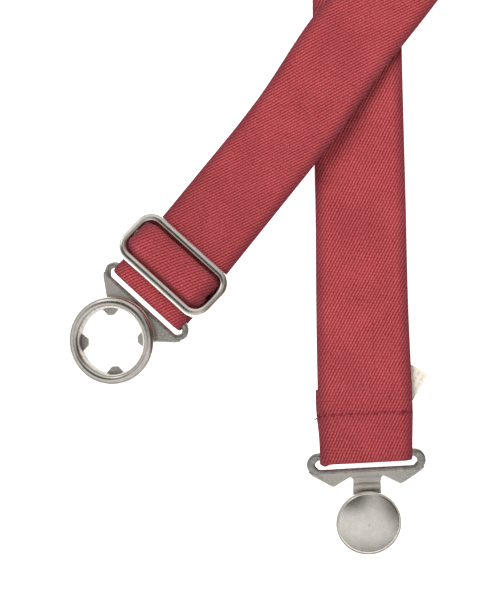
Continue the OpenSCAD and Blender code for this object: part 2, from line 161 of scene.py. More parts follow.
def tube_grid(rings, closed=False):
    """Points, faces and end caps of rings of points, shaped rows x cols x 3."""
    rows, cols = rings.shape[:2]
    faces = grid_faces(rows, cols, closed)
    caps = [] if closed else [range(cols), range((rows - 1) * cols, rows * cols)]
    return rings.reshape(-1, 3), faces, [tuple(c) for c in caps]


def unit(v):
    v = np.asarray(v, float)
    return v / np.linalg.norm(v, axis=-1, keepdims=True)


def smooth_step(x):
    t = np.clip(x, 0, 1)
    return t * t * (3 - 2 * t)


class Place:
    """A local frame: an origin and three axes, which carries local points into the row frame."""

    def __init__(self, origin, x, y, z):
        self.origin = np.asarray(origin, float)
        self.axes = np.array([x, y, z], float)

    def __call__(self, points):
        return self.origin + np.asarray(points, float) @ self.axes

    def moved(self, x=0.0, y=0.0, z=0.0):
        return Place(self([x, y, z]), *self.axes)


# %% [markdown]
# ## Where the ends lie
#
# The joints of the frame say where each clip's bar is, which way the strap leaves it and how the clip
# slopes, so the local frames of the ends come from them. In a strap end, X runs up the strap, Y across
# it and Z away from the table. In a clip, X runs from the bar to the ring or disc.


# %% Frames of the strap ends and the clips
def across_of(heading):
    return np.array([-math.sin(heading), math.cos(heading), 0.0])


def strap_ends(side):
    """The strap's own end, the same end skewed as the clip sits, and the clip's frame."""
    up = np.array(joints[f"loop_{side}_slide"]["axis"], float)
    hinge = joints[f"ring_clip_{side}_hinge"]
    bar, y_skewed = np.array(hinge["pos_m"]), np.array(hinge["axis"], float)
    heading = math.atan2(up[1], up[0])
    normal = np.cross(up, across_of(heading))
    own = Place(bar, up, across_of(heading), normal)
    skewed = Place(bar, np.cross(y_skewed, normal), y_skewed, normal)
    turn = RING_TILT + math.asin(-up[2])
    x_clip = -math.cos(turn) * np.cross(y_skewed, normal) - math.sin(turn) * normal
    clip = Place(bar, x_clip, -y_skewed, np.cross(x_clip, -y_skewed))
    return heading, math.asin(-up[2]), own, skewed, clip


def back_clip_frame():
    y = -np.array(joints["disc_clip_hinge"]["axis"], float)
    z = np.array(mounts["disc_rim"]["axis"], float)
    return Place(DISC_BAR, np.cross(y, z), y, z)


class FrontStrap:
    """What differs between the two front straps: end frames, turn on the way up, layer in the patch."""

    def __init__(self, side, turn, patch_layer):
        self.side, self.turn = side, math.radians(turn)
        self.heading, self.slope, self.own, self.skewed, self.clip = strap_ends(side)
        self.patch_z = PATCH_Z + patch_layer * LAYER
        sign = 1 if side == "right" else -1
        reach = np.array([-sign * math.sin(math.radians(36)), -math.cos(math.radians(36))])
        self.patch_end = APEX + 12 * MM * reach
        far = self.flat(FRONT_LEN)[0]
        gap = far - self.patch_end
        self.crease_dir = gap / np.linalg.norm(gap)
        self.crease = (far + self.patch_end) / 2 - self.crease_dir * math.pi * SHOULDER_R / 2
        top = self.heading + self.turn
        ahead = np.array([math.cos(top), math.sin(top)]) @ self.crease_dir
        self.crease_s = FRONT_LEN - (far - self.crease) @ self.crease_dir / ahead
        own_y, skewed_y = self.own.axes[1], self.skewed.axes[1]
        self.skew = math.asin(float(np.cross(skewed_y, own_y) @ self.own.axes[2]))

    def flat(self, s):
        """Centre line before folding, in plan: straight, an arc of radius ARC_R, then straight.
        Gives the points and their headings."""
        s = np.asarray(s, float)
        arc = ARC_R * self.turn
        angle = self.heading + np.clip((s - STRAIGHT) / ARC_R, 0, self.turn)
        start = self.own.origin[:2]
        h = self.heading
        before = np.minimum(s, STRAIGHT)[..., None] * np.array([math.cos(h), math.sin(h)])
        bend = ARC_R * np.stack([np.sin(angle) - math.sin(h), math.cos(h) - np.cos(angle)], -1)
        after = np.maximum(s - STRAIGHT - arc, 0)[..., None]
        after = after * np.array([math.cos(h + self.turn), math.sin(h + self.turn)])
        return start + before + bend + after, angle


# %% [markdown]
# ## Webbing carried round a fold
#
# Webbing bends but hardly stretches, so a strap that is folded over keeps its own width and length.
# The way to get that is to lay the strap out flat, draw one crease line across it, and roll everything
# beyond the crease round a small half-turn. The crease need not be square to the strap: both edges then
# fold at different places, as a real strap's do. Its height is a second, gentle function of the
# distance along it.


# %% Heights and the fold map of a front strap
SLIDER_AT = 13.1 * MM               # clip bar to the middle of the slider
SLIDER_L = 22 * MM
SLIDER_TRAVEL = 60 * MM
RUN_SPARE = 40 * MM
RUN_L = SLIDER_AT + SLIDER_L / 2 + SLIDER_TRAVEL + RUN_SPARE    # stretch that slides with its clip


def front_height(strap, s):
    """Height of the webbing's middle before the fold: a straight slope down from the clip, an easy
    landing, then a rise to the top of the shoulder fold."""
    slope = math.tan(strap.slope)
    run = RUN_L * math.cos(strap.slope)
    start = strap.own.origin[2] + LOOP_M / math.cos(strap.slope)
    landing = 45 * MM
    t = np.clip((s - run) / landing, 0, 1)
    level = OVER_Z + (start - run * slope - OVER_Z) * (1 - smooth_step(t))
    level = level - landing * slope * t * (1 - t) ** 2
    low = np.where(s < run, start - s * slope, level)
    to_fold = smooth_step((s - strap.crease_s + 75 * MM) / (55 * MM))
    return low + (LAY_Z + 2 * SHOULDER_R - OVER_Z) * to_fold


def back_height(strap, s):
    """Height after the fold: flat on the table, then up to the strap's own layer in the patch."""
    layers = (strap.patch_z - PATCH_Z) / LAYER
    rise_from = FRONT_LEN - (75 + 14 * layers) * MM
    return LAY_Z + (strap.patch_z - LAY_Z) * smooth_step((s - rise_from) / (32 * MM))


def folded(strap, s, across, off):
    """Points of the folded strap. Beyond the crease, a distance e from it becomes an arc of radius
    SHOULDER_R for a half-turn, and then runs back below: x = foot + (r + off) sin(e/r)."""
    centre, angle = strap.flat(s)
    p = centre + across[..., None] * np.stack([-np.sin(angle), np.cos(angle)], -1)
    e = (p - strap.crease) @ strap.crease_dir
    r, g = SHOULDER_R, strap.crease_dir
    a = np.clip(e / r, 0, math.pi)
    foot = p - e[..., None] * g
    before = np.concatenate([p, (front_height(strap, s) + off)[..., None]], -1)
    turn = np.concatenate([foot + g * ((r + off) * np.sin(a))[..., None],
                           (LAY_Z + r + (r + off) * np.cos(a))[..., None]], -1)
    beyond = np.concatenate([p - (2 * e - math.pi * r)[..., None] * g,
                             (back_height(strap, s) - off)[..., None]], -1)
    e = e[..., None]
    return np.where(e <= 0, before, np.where(e < math.pi * r, turn, beyond))


# %% Profile of the webbing
def webbing_profile(width, thick, columns=22, corner=4):
    """A flat strip's section as (across, off) pairs, counter-clockwise. The faces are level, and fall
    away over the last 3 mm to selvedges that are rounded: off = half * (1 - 0.42 * d^2)."""
    r = thick / 2 * 0.58
    flat_half = width / 2 - r
    a = np.linspace(1, -1, columns)
    x = flat_half * np.sign(a) * (1 - (1 - np.abs(a)) ** 1.5)
    d = np.clip((np.abs(x) - flat_half + 3 * MM) / (3 * MM), 0, 1)
    a = np.linspace(math.pi / 2, math.pi * 3 / 2, corner + 2)[1:-1]
    left = np.stack([-flat_half + r * np.cos(a), r * np.sin(a)], -1)
    top = np.stack([x, thick / 2 * (1 - 0.42 * d ** 2)], -1)
    return np.concatenate([top, left, -top, -left])


PROFILE = webbing_profile(WEB_W, WEB_T)


def drawn_in(s):
    """Width factor near a turned end, where the fold draws the cloth together."""
    return 1 - 0.035 * (1 - smooth_step((s - 4 * MM) / (16 * MM)))


def pulled_strap(s, across):
    """A strap under its slider is pulled narrow from its left edge, and drifts to the left beyond."""
    narrow = 0.062 * smooth_step((s - 16 * MM) / (8 * MM)) * (1 - smooth_step((s - 66 * MM) / (60 * MM)))
    drift = 2.4 * MM * smooth_step((s - 85 * MM) / (50 * MM)) * (1 - smooth_step((s - 170 * MM) / (120 * MM)))
    return across * drawn_in(s) - narrow * (across + WEB_W / 2) + drift


def weave_uv(rows_s, profile):
    """UV in metres: U across the strap, to the right, and V along it."""
    u = np.broadcast_to(-profile[:, 0], (len(rows_s), len(profile)))
    v = np.broadcast_to(np.asarray(rows_s)[:, None], u.shape)
    return np.stack([u, v], -1).reshape(-1, 2)


# %% [markdown]
# ## Cloth, metal and leather
#
# The webbing is a twill: raised ribs run across it at about sixty degrees, and each rib is a row of
# short floats. One node group draws that pattern from the UV map, in metres, so that it follows every
# fold, and gives back a height for the bump and a mask for the colour, which paints shade into the
# grooves and into the pits where floats meet. It also gives painted shade along the selvedges and at
# small V, towards the clip ends, and mottling from noise. The two nickel finishes share a second group,
# which adds fine scratches and pits.


# %% A small helper for node groups
class Nodes:
    """Adds nodes to a tree and links them; each method gives back the output socket."""

    def __init__(self, tree):
        self.tree = tree

    def add(self, kind, **settings):
        node = self.tree.nodes.new(kind)
        for key, value in settings.items():
            setattr(node, key, value)
        return node

    def put(self, socket, value):
        if isinstance(value, bpy.types.NodeSocket):
            self.tree.links.new(value, socket)
        else:
            socket.default_value = value

    def math(self, operation, a, b=0.0, c=0.0):
        node = self.add("ShaderNodeMath", operation=operation)
        for socket, value in zip(node.inputs, (a, b, c)):
            self.put(socket, value)
        return node.outputs[0]

    def noise(self, vector, scale, detail=2.0, rough=0.5):
        node = self.add("ShaderNodeTexNoise")
        self.put(node.inputs["Vector"], vector)
        self.put(node.inputs["Scale"], scale)
        self.put(node.inputs["Detail"], detail)
        self.put(node.inputs["Roughness"], rough)
        return node.outputs["Fac"]

    def remap(self, value, low, high, to_low=0.0, to_high=1.0):
        node = self.add("ShaderNodeMapRange")
        for name, v in (("Value", value), ("From Min", low), ("From Max", high),
                        ("To Min", to_low), ("To Max", to_high)):
            self.put(node.inputs[name], v)
        return node.outputs["Result"]

    def mix(self, factor, a, b):
        node = self.add("ShaderNodeMix", data_type="RGBA")
        self.put(node.inputs[0], factor)
        self.put(node.inputs[6], a)
        self.put(node.inputs[7], b)
        return node.outputs[2]

    def scaled(self, vector, x, y, z):
        node = self.add("ShaderNodeVectorMath", operation="MULTIPLY")
        self.put(node.inputs[0], vector)
        node.inputs[1].default_value = (x, y, z)
        return node.outputs[0]


def new_group(name, inputs, outputs):
    """A shader node group with named sockets; inputs are (name, type, default)."""
    tree = bpy.data.node_groups.new(name, "ShaderNodeTree")
    for label, kind, default in inputs:
        socket = tree.interface.new_socket(name=label, in_out="INPUT", socket_type=kind)
        if default is not None:
            socket.default_value = default
    for label, kind in outputs:
        tree.interface.new_socket(name=label, in_out="OUTPUT", socket_type=kind)
    nodes = Nodes(tree)
    return tree, nodes, nodes.add("NodeGroupInput").outputs, nodes.add("NodeGroupOutput").inputs


# %% Twill weave group
def twill_group():
    """Ribs at rib_angle from the strap's width: phase = (v cos a - u sin a) / pitch. Floats lie along
    each rib, staggered by half a float from one rib to the next, and where two meet there is a pit."""
    rib_angle = math.radians(63)
    tree, n, given, result = new_group(
        "Twill weave",
        [("Vector", "NodeSocketVector", None), ("Pitch", "NodeSocketFloat", 0.00109),
         ("Float Length", "NodeSocketFloat", 0.00125)],
        [("Height", "NodeSocketFloat"), ("Rib", "NodeSocketFloat"), ("Mottle", "NodeSocketFloat"),
         ("Selvedge", "NodeSocketFloat"), ("Handling", "NodeSocketFloat")])
    split = n.add("ShaderNodeSeparateXYZ")
    n.put(split.inputs[0], given["Vector"])
    u, v = split.outputs[0], split.outputs[1]
    wander = n.math("MULTIPLY", n.math("SUBTRACT", n.noise(given["Vector"], 160.0), 0.5), 0.0003)
    jitter = n.math("MULTIPLY", n.math("SUBTRACT", n.noise(given["Vector"], 1500.0, 1.0), 0.5), 0.00055)
    cross = n.math("SUBTRACT", n.math("MULTIPLY", v, math.cos(rib_angle)),
                   n.math("MULTIPLY", u, math.sin(rib_angle)))
    cross = n.math("ADD", cross, n.math("ADD", wander, jitter))
    phase = n.math("DIVIDE", cross, given["Pitch"])
    along = n.math("ADD", n.math("MULTIPLY", u, math.cos(rib_angle)),
                   n.math("MULTIPLY", v, math.sin(rib_angle)))
    stagger = n.math("MULTIPLY", n.math("FLOOR", phase), 0.37)
    beat = n.math("ADD", n.math("DIVIDE", n.math("ADD", along, jitter), given["Float Length"]), stagger)
    wave = n.math("ABSOLUTE", n.math("SINE", n.math("MULTIPLY", phase, math.pi)))
    rib = n.math("POWER", wave, 0.8)
    knot = n.math("ABSOLUTE", n.math("SINE", n.math("MULTIPLY", beat, math.pi)))
    body = n.math("MULTIPLY_ADD", n.math("POWER", knot, 0.6), 0.45, 0.55)
    fibre = n.noise(given["Vector"], 5200.0, 2.0, 0.6)
    height = n.math("MULTIPLY_ADD", fibre, 0.3, n.math("MULTIPLY", rib, body))
    mottle = n.math("ADD", n.math("MULTIPLY", n.noise(given["Vector"], 1100.0, 3.0, 0.7), 0.65),
                    n.math("MULTIPLY", n.noise(given["Vector"], 45.0, 2.0), 0.35))
    n.put(result["Height"], height)
    # The Rib mask also drives the colour, where it paints shade into the grooves and pits.
    n.put(result["Rib"], n.math("MULTIPLY", rib, body))
    n.put(result["Mottle"], mottle)
    # Painted shade along both selvedges, over their outer 4 mm.
    n.put(result["Selvedge"], n.remap(n.math("ABSOLUTE", u), 0.0132, 0.0174))
    # Painted shade wherever V is under 85 mm, fully under 30 mm: the straps' clip ends and the short turned,
    # roll and hump pieces.
    n.put(result["Handling"], n.remap(v, 0.085, 0.030))
    return tree


# %% Metal wear group
def wear_group():
    """Pits are the dark spots of a fine noise, scratches a noise drawn out along X."""
    tree, n, given, result = new_group(
        "Metal wear",
        [("Pit Scale", "NodeSocketFloat", 900.0), ("Pit Depth", "NodeSocketFloat", 1.0)],
        [("Pits", "NodeSocketFloat"), ("Grain", "NodeSocketFloat")])
    place = n.add("ShaderNodeTexCoord").outputs["Object"]
    pits = n.remap(n.noise(place, given["Pit Scale"], 4.0, 0.75), 0.42, 0.60)
    grain = n.noise(n.scaled(place, 600, 3000, 1500), 1.0, 3.0, 0.6)
    n.put(result["Pits"], n.math("MULTIPLY", pits, given["Pit Depth"]))
    n.put(result["Grain"], grain)
    return tree


TWILL = twill_group()
WEAR = wear_group()


# %% Materials
def new_material(name):
    material = bpy.data.materials.new(name)
    material.use_nodes = True
    nodes = Nodes(material.node_tree)
    shader = material.node_tree.nodes["Principled BSDF"]
    return material, nodes, shader


def bump(nodes, shader, height, strength, distance):
    node = nodes.add("ShaderNodeBump")
    nodes.put(node.inputs["Height"], height)
    node.inputs["Strength"].default_value = strength
    node.inputs["Distance"].default_value = distance
    nodes.put(shader.inputs["Normal"], node.outputs[0])


def webbing_material():
    material, n, shader = new_material("Crimson twill elastic")
    group = n.add("ShaderNodeGroup", node_tree=TWILL)
    n.put(group.inputs["Vector"], n.add("ShaderNodeUVMap", uv_map="Weave").outputs[0])
    # Painted shade in the weave: grooves between the ribs and pits where floats meet go to deep crimson, and
    # rib tops keep the bright crimson.
    ribs = n.remap(group.outputs["Rib"], 0.10, 0.92)
    cloth = n.mix(ribs, (0.185, 0.011, 0.017, 1), (0.600, 0.104, 0.116, 1))
    # Painted shade along the rounded selvedges.
    cloth = n.mix(n.math("MULTIPLY", group.outputs["Selvedge"], 0.80), cloth, (0.150, 0.030, 0.040, 1))
    # Painted shade towards the clip ends, at small V.
    cloth = n.mix(n.math("MULTIPLY", group.outputs["Handling"], 0.17), cloth, (0.130, 0.018, 0.026, 1))
    pale = n.mix(n.remap(group.outputs["Mottle"], 0.38, 0.64), (0.58, 0.52, 0.53, 1), (1.18, 1.20, 1.20, 1))
    tint = n.add("ShaderNodeMix", data_type="RGBA", blend_type="MULTIPLY")
    tint.inputs[0].default_value = 0.60
    n.put(tint.inputs[6], cloth)
    n.put(tint.inputs[7], pale)
    n.put(shader.inputs["Base Color"], tint.outputs[2])
    shader.inputs["Roughness"].default_value = 0.82
    shader.inputs["Sheen Weight"].default_value = 0.07
    shader.inputs["Sheen Roughness"].default_value = 0.4
    shader.inputs["Specular IOR Level"].default_value = 0.15
    bump(n, shader, group.outputs["Height"], 0.75, 0.00030)
    return material


def thread_material(name, colour):
    material, n, shader = new_material(name)
    place = n.add("ShaderNodeTexCoord").outputs["Object"]
    fuzz = n.noise(place, 3200.0, 3.0, 0.6)
    dark = tuple(0.55 * c for c in colour) + (1,)
    n.put(shader.inputs["Base Color"], n.mix(n.remap(fuzz, 0.35, 0.65), dark, (*colour, 1)))
    shader.inputs["Roughness"].default_value = 0.7
    bump(n, shader, fuzz, 0.4, 0.0001)
    return material


def nickel(name, pit_scale, low, high):
    """Metal whose colour goes from low to high with its pits. Gives back what its finish builds on."""
    material, n, shader = new_material(name)
    group = n.add("ShaderNodeGroup", node_tree=WEAR)
    group.inputs["Pit Scale"].default_value = pit_scale
    tone = n.mix(group.outputs["Pits"], low, high)
    n.put(shader.inputs["Base Color"], tone)
    shader.inputs["Metallic"].default_value = 1.0
    return material, n, shader, group, tone


def brushed_nickel(name, pit_scale, low, high, smooth, rough, depth):
    material, n, shader, group, _ = nickel(name, pit_scale, low, high)
    n.put(shader.inputs["Roughness"], n.remap(group.outputs["Grain"], 0.3, 0.7, smooth, rough))
    bump(n, shader, group.outputs["Grain"], depth, 0.0001)
    return material


def plate_material():
    """The stamped plates: finer pits, and a slow cloud of stain over them."""
    material, n, shader, group, tone = nickel("Pitted nickel plate", 1700.0, (0.40, 0.375, 0.345, 1),
                                              (0.72, 0.685, 0.63, 1))
    place = n.add("ShaderNodeTexCoord").outputs["Object"]
    cloud = n.remap(n.noise(place, 110.0, 2.0), 0.38, 0.62)
    n.put(shader.inputs["Base Color"], n.mix(cloud, tone, (0.64, 0.605, 0.555, 1)))
    n.put(shader.inputs["Roughness"], n.remap(group.outputs["Pits"], 0.0, 1.0, 0.48, 0.36))
    bump(n, shader, group.outputs["Pits"], 0.22, 0.00010)
    return material


def leather_material():
    material, n, shader = new_material("Dark brown leather")
    place = n.add("ShaderNodeTexCoord").outputs["Object"]
    cell = n.add("ShaderNodeTexVoronoi", feature="DISTANCE_TO_EDGE")
    n.put(cell.inputs["Vector"], n.scaled(place, 1, 1, 0.3))
    cell.inputs["Scale"].default_value = 900.0
    grain = n.remap(cell.outputs["Distance"], 0.0, 0.28)
    cloud = n.noise(place, 60.0, 3.0)
    tone = n.mix(n.remap(cloud, 0.35, 0.65), (0.040, 0.016, 0.010, 1), (0.082, 0.034, 0.021, 1))
    n.put(shader.inputs["Base Color"], n.mix(grain, (0.022, 0.009, 0.006, 1), tone))
    n.put(shader.inputs["Roughness"], n.remap(grain, 0.0, 1.0, 0.62, 0.44))
    bump(n, shader, n.math("MULTIPLY_ADD", n.noise(place, 2600.0), 0.2, grain), 0.5, 0.0002)
    return material


def label_material():
    material, n, shader = new_material("Cream satin ribbon")
    spot = n.add("ShaderNodeUVMap", uv_map="Weave").outputs[0]
    split = n.add("ShaderNodeSeparateXYZ")
    n.put(split.inputs[0], spot)
    u, v = split.outputs[0], split.outputs[1]
    rows = n.math("GREATER_THAN", n.math("SINE", n.math("MULTIPLY", v, 2 * math.pi / 0.0021)), 0.35)
    dashes = n.math("GREATER_THAN", n.noise(n.scaled(spot, 1400, 480, 1), 1.0, 1.0), 0.46)
    inset = n.math("LESS_THAN", n.math("ABSOLUTE", u), 0.0052)
    marks = n.math("MULTIPLY", n.math("MULTIPLY", rows, dashes), n.math("MULTIPLY", inset, 0.42))
    n.put(shader.inputs["Base Color"], n.mix(marks, (0.83, 0.77, 0.66, 1), (0.42, 0.38, 0.34, 1)))
    shader.inputs["Roughness"].default_value = 0.48
    threads = n.math("ADD", n.math("SINE", n.math("MULTIPLY", u, 2 * math.pi / 0.00028)),
                     n.math("SINE", n.math("MULTIPLY", v, 2 * math.pi / 0.00028)))
    bump(n, shader, threads, 0.25, 0.00005)
    return material


webbing_cloth = webbing_material()
seam_thread = thread_material("Crimson thread", (0.30, 0.035, 0.05))
patch_thread = thread_material("Wine thread", (0.36, 0.05, 0.065))
polished = brushed_nickel("Polished nickel", 260.0, (0.78, 0.735, 0.672, 1), (0.85, 0.80, 0.735, 1),
                          0.17, 0.26, 0.10)
# The ring's nickel is the polished nickel painted darker: painted shade for the dimmer reflections on the
# ring.
shaded_ring_nickel = brushed_nickel("Rubbed nickel", 260.0, (0.66, 0.62, 0.57, 1), (0.76, 0.715, 0.655, 1),
                            0.17, 0.26, 0.10)
plated = plate_material()
# Darker, rougher nickel for the clip loops; on the ring it paints shade on the inner slope and the bore wall.
dark_nickel_bore_shade = brushed_nickel("Worn nickel bar", 700.0, (0.30, 0.285, 0.26, 1), (0.46, 0.44, 0.41, 1),
                           0.24, 0.38, 0.12)
leather = leather_material()
ribbon = label_material()
print("materials", len(bpy.data.materials))

# %% [markdown]
# ## Camera, table and light
#
# The view looks almost straight down on the two ends that lie nearest, from a little in front. The
# table is a plain pale sheet that glows slightly, as a lit product table does, so shadows stay faint.
# A large soft lamp from the upper left shapes the cloth, and a darker horizon gives the polished metal
# something to reflect.

# %% Camera
VIEW_HEIGHT = 229.5 * MM            # height of the view at the target
VIEW_DISTANCE = 600 * MM
VIEW_ELEVATION = math.radians(80)
target = np.array([DISC_BAR[0] - 42.5 * MM, DISC_BAR[1] + 60.1 * MM, 0.0])
camera_data = bpy.data.cameras.new("Camera")
camera_data.sensor_fit = "VERTICAL"
camera_data.sensor_height = 24.0
camera_data.lens = camera_data.sensor_height * VIEW_DISTANCE / VIEW_HEIGHT
camera_data.clip_start = 0.01
camera = bpy.data.objects.new("Camera", camera_data)
bpy.context.scene.collection.objects.link(camera)
camera.location = target + VIEW_DISTANCE * np.array([0, -math.cos(VIEW_ELEVATION), math.sin(VIEW_ELEVATION)])
camera.rotation_euler = (math.pi / 2 - VIEW_ELEVATION, 0, 0)
bpy.context.scene.camera = camera


# %% Table
def make_table():
    material, n, shader = new_material("Pale table")
    cloud = n.noise(n.add("ShaderNodeTexCoord").outputs["Object"], 3.0)
    n.put(shader.inputs["Base Color"], n.mix(cloud, (0.90, 0.90, 0.90, 1), (0.93, 0.93, 0.93, 1)))
    shader.inputs["Roughness"].default_value = 0.9
    shader.inputs["Emission Color"].default_value = (1, 1, 1, 1)
    shader.inputs["Emission Strength"].default_value = 0.80
    half = 3.0
    corners = np.array([[-half, -half, 0], [half, -half, 0], [half, half, 0], [-half, half, 0]], float)
    mesh = bpy.data.meshes.new("table")
    mesh.from_pydata([tuple(p) for p in corners], [], [(0, 1, 2, 3)])
    mesh.materials.append(material)
    table = bpy.data.objects.new("table", mesh)
    bpy.context.scene.collection.objects.link(table)


make_table()


# %% Lights
def area_light(name, place, size, power, aim):
    data = bpy.data.lights.new(name, "AREA")
    data.shape = "RECTANGLE"
    data.size, data.size_y = size
    data.energy = power
    lamp = bpy.data.objects.new(name, data)
    bpy.context.scene.collection.objects.link(lamp)
    lamp.location = place
    towards = unit(np.array(aim) - np.array(place))
    lamp.rotation_euler = (math.acos(-towards[2]), 0, math.atan2(towards[1], towards[0]) - math.pi / 2)
    return lamp


key = area_light("Soft key", target + np.array([-0.75, 0.55, 1.15]), (0.9, 0.9), 17.0, target)
key.visible_glossy = False
fill = area_light("Front fill", target + np.array([0.35, -0.95, 1.1]), (0.8, 0.6), 6.0, target)
fill.visible_glossy = False


# %% Studio walls
def soft_patch(nodes, ray, towards, inner, outer):
    """1 inside a round patch of the surroundings, 0 outside it, from the cosine of the angle."""
    dot = nodes.add("ShaderNodeVectorMath", operation="DOT_PRODUCT")
    nodes.put(dot.inputs[0], ray)
    dot.inputs[1].default_value = tuple(unit(towards))
    return nodes.remap(dot.outputs["Value"], math.cos(math.radians(outer)), math.cos(math.radians(inner)))


def make_world():
    """Bright walls half-way up, a dark floor line, a dark patch overhead and on one side, and a lamp."""
    world = bpy.data.worlds.new("Studio")
    bpy.context.scene.world = world
    world.use_nodes = True
    sky = Nodes(world.node_tree)
    ray = sky.add("ShaderNodeTexCoord").outputs["Generated"]
    height = sky.add("ShaderNodeSeparateXYZ")
    sky.put(height.inputs[0], ray)
    wall = sky.mix(sky.remap(height.outputs[2], 0.05, 0.60), (0.20, 0.19, 0.18, 1), (0.98, 0.98, 0.98, 1))
    room = sky.mix(sky.remap(height.outputs[2], 0.90, 0.995), wall, (0.64, 0.64, 0.64, 1))
    room = sky.mix(soft_patch(sky, ray, (-0.33, 0.10, 0.94), 14, 30), room, (0.08, 0.075, 0.068, 1))
    room = sky.mix(soft_patch(sky, ray, (0.86, 0.10, 0.50), 24, 50), room, (0.11, 0.098, 0.085, 1))
    room = sky.mix(soft_patch(sky, ray, (-0.53, 0.50, 0.68), 4, 16), room, (1.9, 1.9, 1.9, 1))
    backdrop = world.node_tree.nodes["Background"]
    sky.put(backdrop.inputs["Color"], room)
    backdrop.inputs["Strength"].default_value = 0.80


make_world()
bpy.context.scene.view_settings.view_transform = "Standard"

# %% [markdown]
# ## Front straps
#
# Each front strap is one ribbon from just above its clip to the patch. The stations are close together
# where it folds and wider apart where it lies flat. Near the clip the stations are sheared a little, so
# that the strap's end lines up with the clip, which sits slightly askew on it. The strap shortens
# towards its clip when the slider is pushed up.

# %% Front strap ribbons
FOLD_TOP = 6.0 * MM                 # where the turned end takes over from the strap, above the bar


def strap_stations(strap):
    skew = WEB_W / 2 * 0.45 + 4 * MM
    a, b = strap.crease_s - skew, strap.crease_s + math.pi * SHOULDER_R + skew
    start = FOLD_TOP * math.cos(strap.slope)
    return np.concatenate([np.linspace(start, a, 170)[:-1], np.linspace(a, b, 60)[:-1],
                           np.linspace(b, FRONT_LEN, 90)])


def front_strap_piece(strap):
    s = strap_stations(strap)
    across, off = PROFILE[:, 0], PROFILE[:, 1]
    shear = across[None, :] * math.tan(strap.skew) * (1 - smooth_step(s / (42 * MM)))[:, None]
    s_grid = s[:, None] + shear
    ripple = 0.10 * MM * np.sin(s_grid / (23 * MM)) * np.cos(across[None, :] / (9 * MM))
    ripple = ripple * smooth_step((s_grid - RUN_L) / (60 * MM))
    rings = folded(strap, s_grid, pulled_strap(s[:, None], across[None, :]),
                   np.broadcast_to(off, s_grid.shape) + ripple)
    points, faces, caps = tube_grid(rings)
    uv = np.stack([np.broadcast_to(-across, s_grid.shape), s_grid], -1).reshape(-1, 2)
    piece = make_object(f"front_strap_{strap.side}", points, faces, caps, uv, webbing_cloth)
    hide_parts(f"strap_{strap.side}", f"front_run_{strap.side}")
    tuple(strap.own([RUN_L, 0, LOOP_M]))
    tuple(strap.own([FOLD_TOP + 4 * MM, 0, LOOP_M]))
    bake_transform(piece)
    print(piece.name, "fold at", round(strap.crease_s * 1000), "mm,", len(points), "points")


straps = [FrontStrap("right", 21, 1), FrontStrap("left", 20, 2)]
for strap in straps:
    front_strap_piece(strap)

# %% [markdown]
# ## Webbing along a profile
#
# The turned end, the roll and the hump over the slider are straight across the strap, so each is a
# line in the strap's X-Z plane with a thickness, carried from one selvedge to the other. The line's
# own normals give the two faces, and the selvedges are rounded by drawing the last rows in.


# %% Bent webbing
def arc(centre, r, start, end, count):
    """Points on a circle in the X-Z plane, from one angle to another, in degrees."""
    a = np.radians(np.linspace(start, end, count))
    return np.stack([centre[0] + r * np.cos(a), centre[1] + r * np.sin(a)], -1)


def line_normals(line):
    d = np.gradient(line, axis=0)
    return unit(np.stack([-d[:, 1], d[:, 0]], -1))


def bent_webbing(place, line, width, thick, shape=None, narrow=None):
    """Rings across the strap: point = line + normal * off, moved along Y by the profile's across.
    thick may vary along the line, narrow draws a station in, and shape bends the local points."""
    profile = webbing_profile(width, WEB_T)
    thick = np.broadcast_to(thick, len(line)) / WEB_T
    normal = line_normals(line)
    y = np.broadcast_to(profile[:, 0], (len(line), len(profile)))
    if narrow is not None:
        y = y * narrow[:, None]
    off = profile[:, 1][None, :] * thick[:, None]
    xz = line[:, None, :] + normal[:, None, :] * off[..., None]
    local = np.stack([xz[..., 0], y, xz[..., 1]], -1)
    rings = place(local if shape is None else shape(local))
    steps = np.linalg.norm(np.diff(line, axis=0), axis=1)
    v = np.concatenate([[0], np.cumsum(steps)])
    return (*tube_grid(rings), weave_uv(v, profile))


RETURN_Z = LOOP_M - WEB_T - SEAT
RETURN_END = 20.4 * MM


def turned_end_piece(strap):
    """From the strap's top layer, round the clip bar and back under it, as one ribbon."""
    top = np.stack([np.linspace(FOLD_TOP, 0, 8)[:-1], np.full(7, LOOP_M)], -1)
    turn = arc((0, 0), LOOP_M, 90, 270, 21)
    x = np.linspace(0.8 * MM, RETURN_END, 20)
    back = np.stack([x, -LOOP_M + (RETURN_Z + LOOP_M) * smooth_step((x - 1.5 * MM) / (10.3 * MM))], -1)
    line = np.concatenate([top, turn, back])
    narrow = np.where(np.arange(len(line)) < 28, drawn_in(np.maximum(line[:, 0], 0)), drawn_in(line[:, 0]))
    points, faces, caps, uv = bent_webbing(strap.skewed, line, WEB_W, WEB_T, narrow=narrow)
    uv[:, 1] = FOLD_TOP - uv[:, 1]
    piece = make_object(f"turned_end_{strap.side}", points, faces, caps, uv, webbing_cloth)
    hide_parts(f"end_loop_{strap.side}", f"return_layer_{strap.side}")
    tuple(strap.skewed([5 * MM, 0, RETURN_Z]))
    tuple(strap.skewed([RETURN_END - 2 * MM, 0, RETURN_Z]))
    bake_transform(piece)


for strap in straps:
    turned_end_piece(strap)

# %% [markdown]
# ## Slider, roll and hump
#
# The slider is a rounded rectangle of bar with a polished, flattened top. Inside it the strap's sewn
# end is rolled round the centre bar, and the running strap arches over that roll. The arch is drawn as
# a hump that dives under both outer bars and thins out there, so it can travel over the flat strap.

# %% Slider
SLIDER_BAR = 3.6 * MM
SLIDER_H = 3.0 * MM
CENTRE_BAR_R = 1.2 * MM
SLIDER_IN_W = WEB_W + 1.4 * MM
SLIDER_Z = LOOP_M + WEB_T / 2 + 0.3 * MM + CENTRE_BAR_R + SEAT + WEB_T


